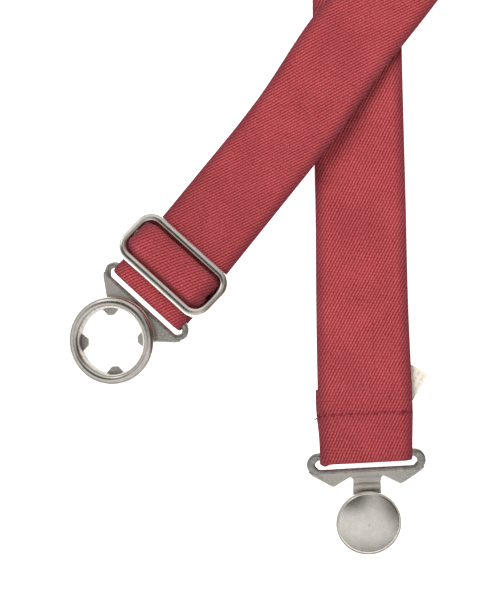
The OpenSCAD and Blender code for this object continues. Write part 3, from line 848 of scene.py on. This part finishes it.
def slider_place(strap):
    centre = strap.own([SLIDER_AT, 0, SLIDER_Z])
    return Place(centre, *strap.skewed.axes)


def rounded_path(half_x, half_y, r, corner=14, side=10):
    """A closed rounded rectangle in the X-Y plane: four quarter circles with straight runs between."""
    parts = []
    for k, (sx, sy) in enumerate(((1, 1), (-1, 1), (-1, -1), (1, -1))):
        a = np.radians(np.linspace(90 * k, 90 * k + 90, corner))
        centre = np.array([sx * (half_x - r), sy * (half_y - r)])
        parts.append(centre + r * np.stack([np.cos(a), np.sin(a)], -1))
    path = []
    for k in range(4):
        a, b = parts[k], parts[(k + 1) % 4]
        t = np.linspace(0, 1, side + 2)[1:-1, None]
        path += [a, a[-1] + t * (b[0] - a[-1])]
    return np.concatenate(path)


def rounded_section(corners, r, count=4):
    """A convex section with its corners rounded: each corner becomes an arc of radius r."""
    pts = np.asarray(corners, float)
    out = []
    for i in range(len(pts)):
        p, a, b = pts[i], pts[i - 1], pts[(i + 1) % len(pts)]
        u, v = unit(a - p), unit(b - p)
        half = math.acos(np.clip(u @ v, -1, 1)) / 2
        reach = min(r / math.tan(half), 0.45 * np.linalg.norm(a - p), 0.45 * np.linalg.norm(b - p))
        t = np.linspace(0, 1, count)[:, None]
        start, end = p + u * reach, p + v * reach
        out.append((1 - t) ** 2 * start + 2 * t * (1 - t) * p + t ** 2 * end)
    return np.concatenate(out)


def swept_frame(place, path, section):
    """A closed planar path with a section carried round it: section X points outwards, Y is up."""
    d = np.roll(path, -1, 0) - np.roll(path, 1, 0)
    out = unit(np.stack([d[:, 1], -d[:, 0]], -1))
    xy = path[:, None, :] + out[:, None, :] * section[None, :, :1]
    z = np.broadcast_to(section[:, 1], xy.shape[:2])
    return tube_grid(place(np.concatenate([xy, z[..., None]], -1)), closed=True)


def slider_frame_piece(strap):
    b, h = SLIDER_BAR / 2, SLIDER_H / 2
    section = rounded_section([(b, -h), (b, 0.05 * h), (0.66 * b, 0.80 * h), (0, h),
                               (-0.66 * b, 0.80 * h), (-b, 0.05 * h), (-b, -h)], 0.8 * MM)
    path = rounded_path(SLIDER_L / 2 - b, SLIDER_IN_W / 2 + b, 7.0 * MM - b)
    points, faces, caps = swept_frame(slider_place(strap), path, section)
    piece = make_object(f"slider_{strap.side}_frame", points, faces, caps, material=polished)
    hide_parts(f"slider_frame_{strap.side}")
    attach(piece, f"slider_{strap.side}")


def slider_bar_piece(strap):
    """The centre bar, a round rod whose ends are set into the frame."""
    place = slider_place(strap)
    a = np.linspace(0, 2 * math.pi, 24, endpoint=False)
    y = np.linspace(-SLIDER_IN_W / 2 - 0.6 * MM, SLIDER_IN_W / 2 + 0.6 * MM, 9)
    ring = CENTRE_BAR_R * np.stack([np.cos(a), np.sin(a)], -1)
    rings = np.stack([np.stack([ring[:, 0], np.full(24, yy), ring[:, 1]], -1) for yy in y])
    points, faces, caps = tube_grid(place(rings))
    piece = make_object(f"slider_{strap.side}_bar", points, faces, caps, material=polished)
    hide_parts(f"slider_bar_{strap.side}")
    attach(piece, f"slider_{strap.side}")


def pinched(local):
    """Draws the roll's ends in: beyond 13 mm from the middle, X and Z shrink by up to an eighth."""
    f = 1 - 0.12 * smooth_step((np.abs(local[..., 1]) - 13 * MM) / (5 * MM)) ** 2
    above = smooth_step((local[..., 2] + 2.6 * MM) / (1.6 * MM))
    f = 1 - (1 - f) * above
    return np.stack([local[..., 0] * f, local[..., 1], local[..., 2] * f], -1)


def roll_piece(strap):
    """The sewn end: one turn and a quarter round the centre bar, each turn just outside the last."""
    a = np.radians(np.linspace(-150, 300, 64))
    r = CENTRE_BAR_R + SEAT + 0.38 * MM + (a - a[0]) / (2 * math.pi) * 0.80 * MM
    line = np.stack([1.5 * r * np.cos(a), r * np.sin(a)], -1)
    points, faces, caps, uv = bent_webbing(slider_place(strap), line, WEB_W + 0.3 * MM, 0.72 * MM, pinched)
    piece = make_object(f"rolled_end_{strap.side}", points, faces, caps, uv, webbing_cloth)
    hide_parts(f"sewn_roll_{strap.side}")
    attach(piece, f"slider_{strap.side}")


def hump_piece(strap):
    """Foot, concave bend, leg and a rounded top, and the same again mirrored. The top is a quarter of
    the curve |x/a|^2.4 + |z/b|^2.4 = 1."""
    wide, tall = 5.95 * MM, 3.75 * MM
    foot = LOOP_M + WEB_T / 2 + 0.35 * MM - SLIDER_Z
    bend = 1.1 * MM
    leg = foot + bend
    tail = np.stack([np.linspace(-10.4 * MM, -wide - bend, 8)[:-1], np.full(7, foot)], -1)
    rise = arc((-wide - bend, leg), bend, -90, 0, 8)
    a = np.linspace(math.pi, math.pi / 2, 22)[1:]
    top = np.stack([-wide * np.abs(np.cos(a)) ** (2 / 2.4), tall * np.abs(np.sin(a)) ** (2 / 2.4)], -1)
    half = np.concatenate([tail, rise, top])
    line = np.concatenate([half, (half * [-1, 1])[::-1][1:]])
    thick = WEB_T * (0.16 + 0.84 * smooth_step((10.5 * MM - np.abs(line[:, 0])) / (2.6 * MM)))
    points, faces, caps, uv = bent_webbing(slider_place(strap), line, WEB_W + 0.9 * MM, thick, pinched)
    piece = make_object(f"strap_over_bar_{strap.side}", points, faces, caps, uv, webbing_cloth)
    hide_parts(f"strap_hump_{strap.side}")
    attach(piece, f"slider_{strap.side}")


for strap in straps:
    slider_frame_piece(strap)
    slider_bar_piece(strap)
    roll_piece(strap)
    hump_piece(strap)

# %% [markdown]
# ## Stitches
#
# A stitch is a short loop of thread that dives into the cloth at both ends. Each is a bent tube with a
# few dozen faces, laid along a line with the surface's normal, so the same function makes every seam.


# %% Stitch rows
def stitches(name, centres, along, normals, length, r, material, lift=0.5):
    """Tubes along shallow arches: height = lift * r * cos, tapering to the ends. All arrays are N x 3."""
    t = np.linspace(-1, 1, 9)
    a = np.linspace(0, 2 * math.pi, 8, endpoint=False)
    along, normals = unit(along), unit(normals)
    side = np.cross(normals, along)
    rise = (np.cos(t * math.pi / 2) * (1 + lift) - 0.75) * r
    radius = r * np.sqrt(np.clip(1 - (np.abs(t) ** 4) * 0.75, 0.05, 1))
    spine = (centres[:, None, :] + along[:, None, :] * (t * length / 2)[None, :, None]
             + normals[:, None, :] * rise[None, :, None])
    ring = (side[:, None, None, :] * np.cos(a)[None, None, :, None]
            + normals[:, None, None, :] * np.sin(a)[None, None, :, None]) * radius[None, :, None, None]
    rings = spine[:, :, None, :] + ring
    points, faces, caps, _ = merge([tube_grid(one) for one in rings])
    return make_object(name, points, faces, caps, material=material)


def roll_stitch_piece(strap):
    count = 13
    y = (np.arange(count) - (count - 1) / 2) * 2.4 * MM
    x = np.full(count, RETURN_END - 3 * MM)
    centres = strap.skewed(np.stack([x, y, np.full(count, RETURN_Z - WEB_T / 2)], -1))
    along = np.tile(strap.skewed.axes[1], (count, 1))
    normals = np.tile(-strap.skewed.axes[2], (count, 1))
    piece = stitches(f"roll_seam_{strap.side}", centres, along, normals, 2 * MM, 0.26 * MM, seam_thread)
    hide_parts(f"roll_stitching_{strap.side}")
    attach(piece, f"slider_{strap.side}")


for strap in straps:
    roll_stitch_piece(strap)

# %% [markdown]
# ## Clips
#
# A clip's plate is stamped and bent from one sheet. Its loop is a bar swept round two corners: flat
# arms that turn into a round hinge bar. The wings are a slab between a straight slot edge and a shaped
# lower edge. Rings, disc and base are turned shapes. The polished ring and disc are separate pieces
# pressed on to the dull plates.


# %% Turned shapes, slabs and loops
def turned(place, profile, count=112):
    """A closed (radius, height) profile turned about the local Z axis."""
    a = np.linspace(0, 2 * math.pi, count, endpoint=False)
    r, z = profile[:, 0], profile[:, 1]
    rings = np.stack([r[None, :] * np.cos(a)[:, None], r[None, :] * np.sin(a)[:, None],
                      np.broadcast_to(z, (count, len(z)))], -1)
    return tube_grid(place(rings), closed=True)


def slab(place, y, x_near, x_far, thick, edge):
    """A plate between two edges that are functions of Y, with rounded rims of radius edge."""
    a = np.radians(np.linspace(-90, 90, 7))
    half = thick / 2
    reach = np.minimum(edge, (x_far - x_near) / 2)[:, None]
    up = np.sin(a) * edge + np.sign(np.sin(a).round(6)) * (half - edge)
    far_x = x_far[:, None] - reach + reach * np.cos(a)[None, :]
    near_x = x_near[:, None] + reach - reach * np.cos(a)[None, :]
    t = np.linspace(0, 1, 12)[1:-1][None, :]
    top_x = far_x[:, -1:] + (near_x[:, -1:] - far_x[:, -1:]) * t
    x = np.concatenate([far_x, top_x, near_x[:, ::-1], top_x[:, ::-1]], 1)
    z_row = np.concatenate([up, np.full(10, half), up[::-1], np.full(10, -half)])
    z = np.broadcast_to(z_row, x.shape)
    rings = np.stack([x, np.broadcast_to(y[:, None], x.shape), z], -1)
    return tube_grid(place(rings))


def clip_loop(place, slot_w, arm_w, low_w):
    """A closed loop: hinge bar, two arms and the lower bar, as a superellipse carried round a rounded
    rectangle. The section turns from round (hinge bar) to flat (arms) to a raised rib (lower bar)."""
    half_x = (SLOT_EDGE + low_w / 2) / 2
    path = rounded_path(half_x, (slot_w + arm_w) / 2, 3.1 * MM, 12, 26) + [half_x, 0]
    d = np.roll(path, -1, 0) - np.roll(path, 1, 0)
    out = unit(np.stack([d[:, 1], -d[:, 0]], -1))
    share = smooth_step((slot_w / 2 + 0.4 * MM - np.abs(path[:, 1])) / (2.4 * MM))[:, None]
    low = smooth_step((path[:, 0] - half_x * 0.8) / (half_x * 0.4))[:, None]
    bar_w, bar_h = BAR_R + (low_w / 2 - BAR_R) * low, BAR_R + (0.98 * MM - BAR_R) * low
    width = arm_w / 2 * (1 - share) + bar_w * share
    height = 0.92 * MM * (1 - share) + bar_h * share
    power = 0.66 + 0.34 * share
    q = np.linspace(0, 2 * math.pi, 28, endpoint=False)[None, :]
    sx = np.sign(np.cos(q)) * np.abs(np.cos(q)) ** power * width
    sz = np.sign(np.sin(q)) * np.abs(np.sin(q)) ** power * height
    xy = path[:, None, :] + out[:, None, :] * sx[..., None]
    return tube_grid(place(np.concatenate([xy, sz[..., None]], -1)), closed=True)


def both_sides(pairs):
    """A function of |y| from (|y|, x) pairs in millimetres, for an outline that is mirrored."""
    ys, xs = np.array(pairs, float).T * MM
    return lambda y: np.interp(np.abs(y), ys, xs)


# %% Ring clips
RING_WALL = 4.65 * MM
RING_R = BORE_R + RING_WALL
RING_H = 3.9 * MM
TOOTH_H = 2.7 * MM


def ring_wings(place):
    """From the lower bar to an outline that narrows to the ring."""
    edge = SLOT_EDGE / MM
    outer = both_sides([(0, edge + 5), (11.2, edge + 7.6), (12.6, edge + 7.2), (14.0, edge + 6.0),
                        (15.6, edge + 4.7), (17.2, edge + 3.4), (18.4, edge + 2.4), (19.2, edge + 1.5),
                        (19.7, edge + 0.7)])
    y = np.concatenate([np.linspace(-19.7, -11, 34), np.linspace(-10.5, 10.5, 20),
                        np.linspace(11, 19.7, 34)]) * MM
    return slab(place, y, np.full(len(y), SLOT_EDGE + 0.5 * MM), outer(y), PLATE_T, 0.5 * MM)


def ring_base(place):
    r0, r1, h, e = BORE_R, RING_R - 0.5 * MM, PLATE_T / 2, 0.35 * MM
    section = rounded_section([(r1, -h), (r1, h), (r0, h), (r0, -h)], e, 4)
    return turned(place, section)


def tooth(place, turn):
    """A small trapezium with a blunt point, reaching in from the plate's bore."""
    rows = np.linspace(-1, 1, 13)
    c, s = math.cos(turn), math.sin(turn)
    own = Place(place.origin, c * place.axes[0] + s * place.axes[1],
                -s * place.axes[0] + c * place.axes[1], place.axes[2])
    y = rows * 3.3 * MM
    point = np.interp(np.abs(rows), [0, 0.32, 0.45, 1.0], [1, 1, 0.86, 0.0]) * TOOTH_H
    bore = -np.sqrt(BORE_R ** 2 - y ** 2)
    return slab(own, y, bore - 0.6 * MM, bore + point + 0.05 * MM, PLATE_T * 0.8, 0.3 * MM)


def ring_plate_piece(strap):
    centre = strap.clip.moved(x=RING_REACH)
    teeth = [tooth(centre, math.radians(45 + 90 * k)) for k in range(4)]
    loop = clip_loop(strap.clip, RING_SLOT_W, RING_ARM_W, 1.5 * MM)
    points, faces, caps, paint = merge([loop, ring_wings(strap.clip), ring_base(centre), *teeth],
                                       [1, 0, 0, 0, 0, 0, 0])
    piece = make_object(f"ring_clip_{strap.side}_plate", points, faces, caps,
                        material=[plated, dark_nickel_bore_shade], paint=paint)
    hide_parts(f"ring_plate_{strap.side}")
    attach(piece, f"ring_clip_{strap.side}")
    return centre


def ring_bezel_piece(strap, centre):
    """A domed ring: a steep outer flank, a rounded crown and a short lip that drops into the bore."""
    mid = RING_R - RING_WALL * 0.56
    a = np.radians(np.linspace(6, 164, 24))
    reach = np.where(np.cos(a) > 0, 0.55, 0.43) * RING_WALL
    crown = np.stack([mid + reach * np.cos(a), 0.9 * MM + (RING_H - 0.9 * MM) * np.sin(a) ** 0.72], -1)
    inner = np.array([[BORE_R, 1.2 * MM], [BORE_R, 0.7 * MM], [BORE_R, 0.1 * MM], [BORE_R + 0.2 * MM, 0]])
    foot = np.array([[RING_R - 0.5 * MM, 0], [RING_R - 0.05 * MM, 0.15 * MM], [RING_R, 0.5 * MM]])
    profile = np.concatenate([foot, crown, inner])
    place = centre.moved(z=PLATE_T / 2 + 0.02 * MM)
    points, faces, caps = turned(place, profile, 160)
    # The crown's inner slope and the bore wall take the dark nickel: painted shade inside the bore. The rest
    # is the shaded copy of polished nickel.
    inside = np.arange(len(profile)) >= len(profile) - 8
    piece = make_object(f"ring_clip_{strap.side}_ring", points, faces, caps,
                        material=[shaded_ring_nickel, dark_nickel_bore_shade], paint=np.tile(inside, 160))
    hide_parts(f"ring_bezel_{strap.side}")
    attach(piece, f"ring_clip_{strap.side}")


for strap in straps:
    ring_bezel_piece(strap, ring_plate_piece(strap))

# %% Disc clip
JOGGLE = 1.5 * MM
NECK_W = 10.4 * MM
RIM_H = 1.9 * MM
CROWN_H = 2.0 * MM
disc_frame = back_clip_frame()
disc_reach = float((np.array(mounts["disc_rim"]["pos_m"]) - DISC_BAR) @ disc_frame.axes[0])


def disc_wings(place):
    """The slab under the slot, with a pointed wing on each side and notches at the neck."""
    edge = SLOT_EDGE / MM
    outer = both_sides([(0, edge + 4.6), (5.2, edge + 4.6), (5.5, edge + 3.5), (6.3, edge + 3.4),
                        (11.6, edge + 6.4), (12.4, edge + 6.85), (13.3, edge + 6.5), (19.9, edge + 2.3),
                        (20.9, edge + 1.4), (21.3, edge + 0.8)])
    y = np.linspace(-21.3, 21.3, 110) * MM
    return slab(place, y, np.full(len(y), SLOT_EDGE + 0.6 * MM), outer(y), PLATE_T, 0.5 * MM)


def disc_neck(place):
    """A strip that steps down to the disc's base, carried along a bent line."""
    x0, drop = SLOT_EDGE + 2.6 * MM, JOGGLE - 0.05 * MM
    x = np.linspace(x0, disc_reach - DISC_R + 3 * MM, 26)
    z = -drop * smooth_step((x - x0 - 2.0 * MM) / (2.8 * MM))
    z = z + 0.22 * MM * np.sin((x - x0) / (0.62 * MM)) * smooth_step((x - x0) / (1.5 * MM))
    line = np.stack([x, z], -1)
    normal = line_normals(line)
    section = rounded_section([(NECK_W / 2, -0.72 * MM), (NECK_W / 2, 0.78 * MM), (-NECK_W / 2, 0.78 * MM),
                               (-NECK_W / 2, -0.72 * MM)], 0.35 * MM)
    xz = line[:, None, :] + normal[:, None, :] * section[None, :, 1:]
    y = np.broadcast_to(section[:, 0], xz.shape[:2])
    return tube_grid(place(np.stack([xz[..., 0], y, xz[..., 1]], -1)))


def disc_plate_piece():
    base_r, h = DISC_R - 0.8 * MM, 1.2 * MM
    section = rounded_section([(base_r, -h), (base_r, 0), (0.01 * MM, 0), (0.01 * MM, -h)], 0.25 * MM)
    base = turned(disc_frame.moved(x=disc_reach, z=PLATE_T / 2 - JOGGLE), section)
    loop = clip_loop(disc_frame, SLOT_W, ARM_W, 2.0 * MM)
    points, faces, caps, paint = merge([loop, disc_wings(disc_frame), disc_neck(disc_frame), base],
                                       [1, 0, 0, 0])
    piece = make_object("disc_clip_plate", points, faces, caps, material=[plated, dark_nickel_bore_shade], paint=paint)
    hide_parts("disc_plate")
    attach(piece, "disc_clip")


def disc_cap_piece():
    """A shallow dome inside a rolled rim: part of a sphere, a fine groove, then the bead of the rim."""
    dome_r = DISC_R - 0.75 * MM
    sphere = (dome_r ** 2 + CROWN_H ** 2) / (2 * CROWN_H)
    r = np.linspace(0.01 * MM, dome_r, 26)
    dome = np.stack([r, RIM_H + np.sqrt(sphere ** 2 - r ** 2) - sphere + CROWN_H], -1)
    groove = np.array([[dome_r + 0.08 * MM, RIM_H - 0.28 * MM], [dome_r + 0.2 * MM, RIM_H - 0.2 * MM]])
    bead = arc((DISC_R - 0.32 * MM, RIM_H - 0.32 * MM), 0.32 * MM, 120, -10, 9)
    wall = np.array([[DISC_R, 0.9 * MM], [DISC_R, 0.15 * MM], [DISC_R - 0.15 * MM, 0.0],
                     [DISC_R - 0.6 * MM, 0.0], [DISC_R - 0.7 * MM, 0.2 * MM], [DISC_R - 0.7 * MM, 0.9 * MM],
                     [DISC_R - 1.4 * MM, 1.1 * MM], [0.01 * MM, 1.3 * MM]])
    place = disc_frame.moved(x=disc_reach, z=PLATE_T / 2 - JOGGLE + SEAT)
    points, faces, caps = turned(place, np.concatenate([dome, groove, bead, wall]), 160)
    piece = make_object("disc_clip_cap", points, faces, caps, material=polished)
    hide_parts("disc_cap")
    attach(piece, "disc_clip")


disc_plate_piece()
disc_cap_piece()

# %% [markdown]
# ## Back strap
#
# The back strap runs from its sewn end, under and round the clip's bar, down to the table and up into
# the patch. It is a line in the Y-Z plane with the webbing's thickness. Where the seam crosses it, the
# thread pulls the cloth down, so the surface has a fine valley with a dimple at every stitch.

# %% Back strap ribbon
BACK_STRAIGHT = 84 * MM
BACK_SLOPE = math.radians(8)
BACK_SKEW = math.atan2(disc_frame.axes[0][0], -disc_frame.axes[0][1])
SEAM_AT = 15.0 * MM
BACK_LEN = APEX[1] - DISC_BAR[1]


def back_top(y):
    """Height of the top layer's middle: an easy curve down from the clip bar to the table, level, and
    a rise into the patch."""
    start = DISC_BAR[2] + LOOP_M / math.cos(BACK_SLOPE)
    t = np.clip(y / BACK_STRAIGHT, 0, 1)
    drop = LAY_Z + (start - LAY_Z) * (1 - smooth_step(t))
    drop = drop - BACK_STRAIGHT * math.tan(BACK_SLOPE) * t * (1 - t) ** 2 * 0.6
    rise_from = patch_low[1] - DISC_BAR[1] - 12 * MM
    rise = smooth_step((y - rise_from) / (11 * MM))
    return drop + (PATCH_Z - LAY_Z) * rise


def back_line():
    x = np.linspace(25.0 * MM, 0.9 * MM, 24)
    under = np.stack([x, -LOOP_M + (RETURN_Z + LOOP_M) * smooth_step(x / (13 * MM))], -1)
    bend = arc((0, 0), LOOP_M, -96, -262, 24)
    c, s = math.cos(-BACK_SLOPE), math.sin(-BACK_SLOPE)
    end = np.concatenate([under, bend]) @ np.array([[c, s], [-s, c]]) + [0, DISC_BAR[2]]
    y = np.concatenate([np.linspace(0.5 * MM, 34 * MM, 90)[:-1], np.linspace(34 * MM, BACK_LEN - 4 * MM, 90)])
    return np.concatenate([end, np.stack([y, back_top(y)], -1)]), len(end)


def skew_shift(y, x):
    return x * math.tan(BACK_SKEW) * (1 - smooth_step((y - 20 * MM) / (60 * MM)))


def seam_valley(y, x):
    """Depth of the pucker on the top face: a valley along the seam, deeper at every stitch hole."""
    d = (y - SEAM_AT) / (0.75 * MM)
    dimple = 0.55 + 0.45 * np.cos(2 * math.pi * (x / (3.2 * MM) + 0.5))
    swell = 0.26 * MM * np.exp(-(((np.abs(y - SEAM_AT) - 2.4 * MM) / (1.5 * MM)) ** 2))
    return 0.85 * MM * np.exp(-d ** 2) * dimple - swell


def loose_end(y, x, under, bend):
    """The sewn end strays to the left under the strap, and its corner hangs out of the fold a little."""
    stray = np.where(under, -0.7 * MM * smooth_step((y - 5 * MM) / (16 * MM)), 0)
    nub = np.where(bend, -0.75 * MM * np.exp(-(((x + 15.6 * MM) / (1.3 * MM)) ** 2)), 0)
    return stray, nub * np.clip(-y / LOOP_M, 0, 1)


def back_strap_piece():
    line, end_rows = back_line()
    profile = webbing_profile(WEB_W, WEB_T, columns=60)
    normal = line_normals(line)
    off = np.broadcast_to(profile[:, 1], (len(line), len(profile)))
    xz = line[:, None, :] + normal[:, None, :] * off[..., None]
    x = np.broadcast_to(profile[:, 0], off.shape)
    y = xz[..., 0]
    on_top = (np.arange(len(line))[:, None] >= end_rows) & (off > WEB_T / 4)
    valley = np.where(on_top, seam_valley(y, x), 0)
    z = xz[..., 1] - valley
    rows = np.arange(len(line))[:, None]
    stray, nub = loose_end(y, x, rows < 24, rows < end_rows)
    x = x * drawn_in(np.abs(y) + 3 * MM)
    wander = 0.35 * MM * np.sin(y / (37 * MM)) * smooth_step((y - 40 * MM) / (60 * MM))
    rings = np.stack([DISC_BAR[0] + x + wander + stray, DISC_BAR[1] + y + nub + skew_shift(y, x), z], -1)
    points, faces, caps = tube_grid(rings)
    steps = np.concatenate([[0], np.cumsum(np.linalg.norm(np.diff(line, axis=0), axis=1))])
    v = np.broadcast_to(steps[:, None], x.shape)
    uv = np.stack([np.broadcast_to(profile[:, 0], v.shape), v], -1).reshape(-1, 2)
    piece = make_object("back_strap", points, faces, caps, uv, webbing_cloth)
    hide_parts("strap_back")
    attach(piece, "root")
    print("back strap", len(points), "points")


back_strap_piece()


# %% Back strap seams
def on_back_strap(y, x, sink):
    """Points on the back strap's top face, and its normal there, at a distance y up the strap."""
    y, x = np.broadcast_arrays(np.asarray(y, float), np.asarray(x, float))
    slope = (back_top(y + 1 * MM) - back_top(y - 1 * MM)) / (2 * MM)
    normal = unit(np.stack([0 * y, -slope, 1 + 0 * y], -1))
    z = back_top(y) + WEB_T / 2 - sink
    return np.stack([DISC_BAR[0] + x, DISC_BAR[1] + y + skew_shift(y, x), z], -1), normal


def end_seam_piece():
    count = 11
    x = (np.arange(count) - (count - 1) / 2) * 3.2 * MM
    y = SEAM_AT + 0.16 * MM * np.sin(np.arange(count) * 2.1)
    centres, normals = on_back_strap(y, x, 0.30 * MM)
    along = np.tile([1.0, math.tan(BACK_SKEW), 0.0], (count, 1))
    tack_x = np.array([13.0, 15.2, 13.6, 15.9, -17.9]) * MM
    tack, tack_n = on_back_strap(SEAM_AT - np.array([0.7, 0.5, 1.5, 1.4, 0.9]) * MM, tack_x, 0.05 * MM)
    piece = stitches("back_strap_seam", np.concatenate([centres, tack]),
                     np.concatenate([along, np.tile([1.0, 0.04, 0.0], (4, 1)), [[1.0, 0.5, 0.0]]]),
                     np.concatenate([normals, tack_n]), 2.5 * MM, 0.24 * MM, seam_thread)
    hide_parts("back_end_seam")
    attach(piece, "root")


def label_seam_piece():
    y = 34 * MM + np.arange(9) * 2.6 * MM
    centres, normals = on_back_strap(y, np.full(9, 3.8 * MM), 0.12 * MM)
    step, _ = on_back_strap(y + 1 * MM, np.full(9, 3.8 * MM), 0.12 * MM)
    piece = stitches("label_seam_line", centres, step - centres, normals, 2.0 * MM, 0.20 * MM, seam_thread)
    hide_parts("label_seam")
    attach(piece, "root")


end_seam_piece()
label_seam_piece()


# %% Care label
def label_piece():
    """A folded scrap of ribbon with a soft curl: z = curl * (distance from the seam) squared."""
    low, high = (np.array(v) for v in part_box("care_label"))
    centre = (low + high) / 2 + np.array([-0.9, -2.0, 0.0]) * MM
    slope = math.atan2(back_top(36 * MM) - back_top(30 * MM), 6 * MM)
    turn = math.radians(-32)
    u = np.linspace(-8, 8, 25) * MM
    v = np.linspace(-6, 6, 19) * MM
    uu, vv = np.meshgrid(u, v, indexing="ij")
    curl = 0.35 * MM * ((uu + 8 * MM) / (16 * MM)) ** 2 + 0.12 * MM * np.sin(vv / (2.2 * MM))
    x = uu * math.cos(turn) - vv * math.sin(turn)
    y = uu * math.sin(turn) + vv * math.cos(turn)
    top = np.stack([x, y, curl + 0.16 * MM], -1)
    under = np.stack([x, y, curl - 0.16 * MM], -1)
    both = np.concatenate([top.reshape(-1, 3), under.reshape(-1, 3)])
    both[:, 2] += both[:, 1] * math.tan(slope)
    n, m = uu.shape
    i, j = np.meshgrid(np.arange(n - 1), np.arange(m - 1), indexing="ij")
    quad = np.stack([i * m + j, (i + 1) * m + j, (i + 1) * m + j + 1, i * m + j + 1], -1).reshape(-1, 4)
    rim = np.concatenate([np.arange(m), np.arange(1, n) * m + m - 1, (n - 1) * m + np.arange(m - 2, -1, -1),
                          np.arange(n - 2, 0, -1) * m])
    nxt = np.roll(rim, -1)
    side = np.stack([rim, nxt, nxt + n * m, rim + n * m], -1)
    faces = np.concatenate([quad, quad[:, ::-1] + n * m, side[:, ::-1]])
    uv = np.tile(np.stack([vv, uu], -1).reshape(-1, 2), (2, 1))
    piece = make_object("care_label_ribbon", centre + both, faces, uv=uv, material=ribbon)
    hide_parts("care_label")
    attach(piece, "root")


label_piece()

# %% [markdown]
# ## Leather patch
#
# Two shields of leather hold the three straps together. The lower one lies flat. The upper one is
# draped: it steps up one layer for each strap that it covers. Both are built as rings from the middle
# to the rim, with a rounded cut edge.


# %% Shield outline and patch layers
def shield(inset, corner, count=200):
    """The patch outline with rounded corners, as equally spaced points, counter-clockwise."""
    w, top = (patch_high[0] - patch_low[0]) / 2 - inset, patch_high[1] - inset
    foot_w, foot = 19 * MM - inset, patch_low[1] + inset
    shoulder = foot + (patch_high[1] - patch_low[1]) * 0.45
    x = DISC_BAR[0]
    pts = [(x - foot_w, foot), (x + foot_w, foot), (x + w, shoulder), (x + w, top), (x - w, top),
           (x - w, shoulder)]
    line = rounded_section(pts, corner, 9)
    closed = np.concatenate([line, line[:1]])
    d = np.concatenate([[0], np.cumsum(np.linalg.norm(np.diff(closed, axis=0), axis=1))])
    at = np.linspace(0, d[-1], count, endpoint=False)
    return np.stack([np.interp(at, d, closed[:, k]) for k in range(2)], -1)


def strap_cover(p, strap):
    """1 where a front strap's last run lies under the patch, easing to 0 past its selvedges."""
    d = unit(strap.crease - strap.patch_end)
    rel = p - strap.patch_end
    along, side = rel @ d, np.abs(rel @ np.array([-d[1], d[0]]))
    return smooth_step((WEB_W / 2 + 3 * MM - side) / (4 * MM)) * smooth_step((along + 4 * MM) / (5 * MM))


def drape(p, inward):
    """Height of the upper leather's underside: one layer for each strap below, a touch lower at the rim."""
    back = (smooth_step((WEB_W / 2 + 3 * MM - np.abs(p[..., 0] - DISC_BAR[0])) / (4 * MM))
            * smooth_step((DISC_BAR[1] + BACK_LEN - p[..., 1]) / (5 * MM)))
    stack = np.maximum(back, strap_cover(p, straps[0]) * 2.0)
    stack = np.maximum(stack, strap_cover(p, straps[1]) * 3.0)
    full = PATCH_Z - WEB_T / 2 + stack * LAYER
    return full + 0.15 * MM * smooth_step(inward / (4 * MM))


def patch_piece(name, node, upper):
    rim = shield(0.0, 6 * MM)
    middle = rim.mean(0)
    share = np.linspace(0.004, 1, 44)[:, None, None]
    p = middle + (rim - middle) * share
    inward = np.linalg.norm(rim - middle, axis=1)[None, :] * (1 - share[..., 0])
    thick = 1.45 * MM
    if upper:
        low = drape(p, inward)
    else:
        low = np.full(p.shape[:2], 0.02 * MM)
    edge = 0.5 * MM
    draw = edge - np.sqrt(np.clip(edge ** 2 - np.clip(edge - inward, 0, edge) ** 2, 0, None))
    groove = 0.16 * MM * np.exp(-(((inward - 3.0 * MM) / (0.55 * MM)) ** 2)) if upper else 0
    high = low + thick - draw - groove
    low = low + draw
    top = np.concatenate([p, high[..., None]], -1)
    under = np.concatenate([p, low[..., None]], -1)[::-1]
    points, faces, caps = tube_grid(np.concatenate([top, under]))
    piece = make_object(name, points, faces, caps, material=leather)
    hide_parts(node)
    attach(piece, "root")
    return piece


def patch_stitch_piece():
    line = shield(3.0 * MM, 4 * MM, 62)
    middle = line.mean(0)
    along = unit(np.roll(line, -1, 0) - np.roll(line, 1, 0))
    height = drape(line, np.full(len(line), 3 * MM)) + 1.45 * MM - 0.20 * MM
    centres = np.concatenate([line, height[:, None]], -1)
    ahead = np.roll(centres, -1, 0) - np.roll(centres, 1, 0)
    side = np.concatenate([np.stack([along[:, 1], -along[:, 0]], -1), np.zeros((len(line), 1))], -1)
    normals = np.cross(side, unit(ahead))
    normals = normals * np.sign(normals[:, 2:])
    piece = stitches("patch_seam", centres, ahead, normals, 2.5 * MM, 0.27 * MM, patch_thread)
    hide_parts("patch_stitching")
    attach(piece, "root")


patch_piece("patch_lower_leather", "patch_under", False)
patch_piece("patch_upper_leather", "patch_top", True)
patch_stitch_piece()
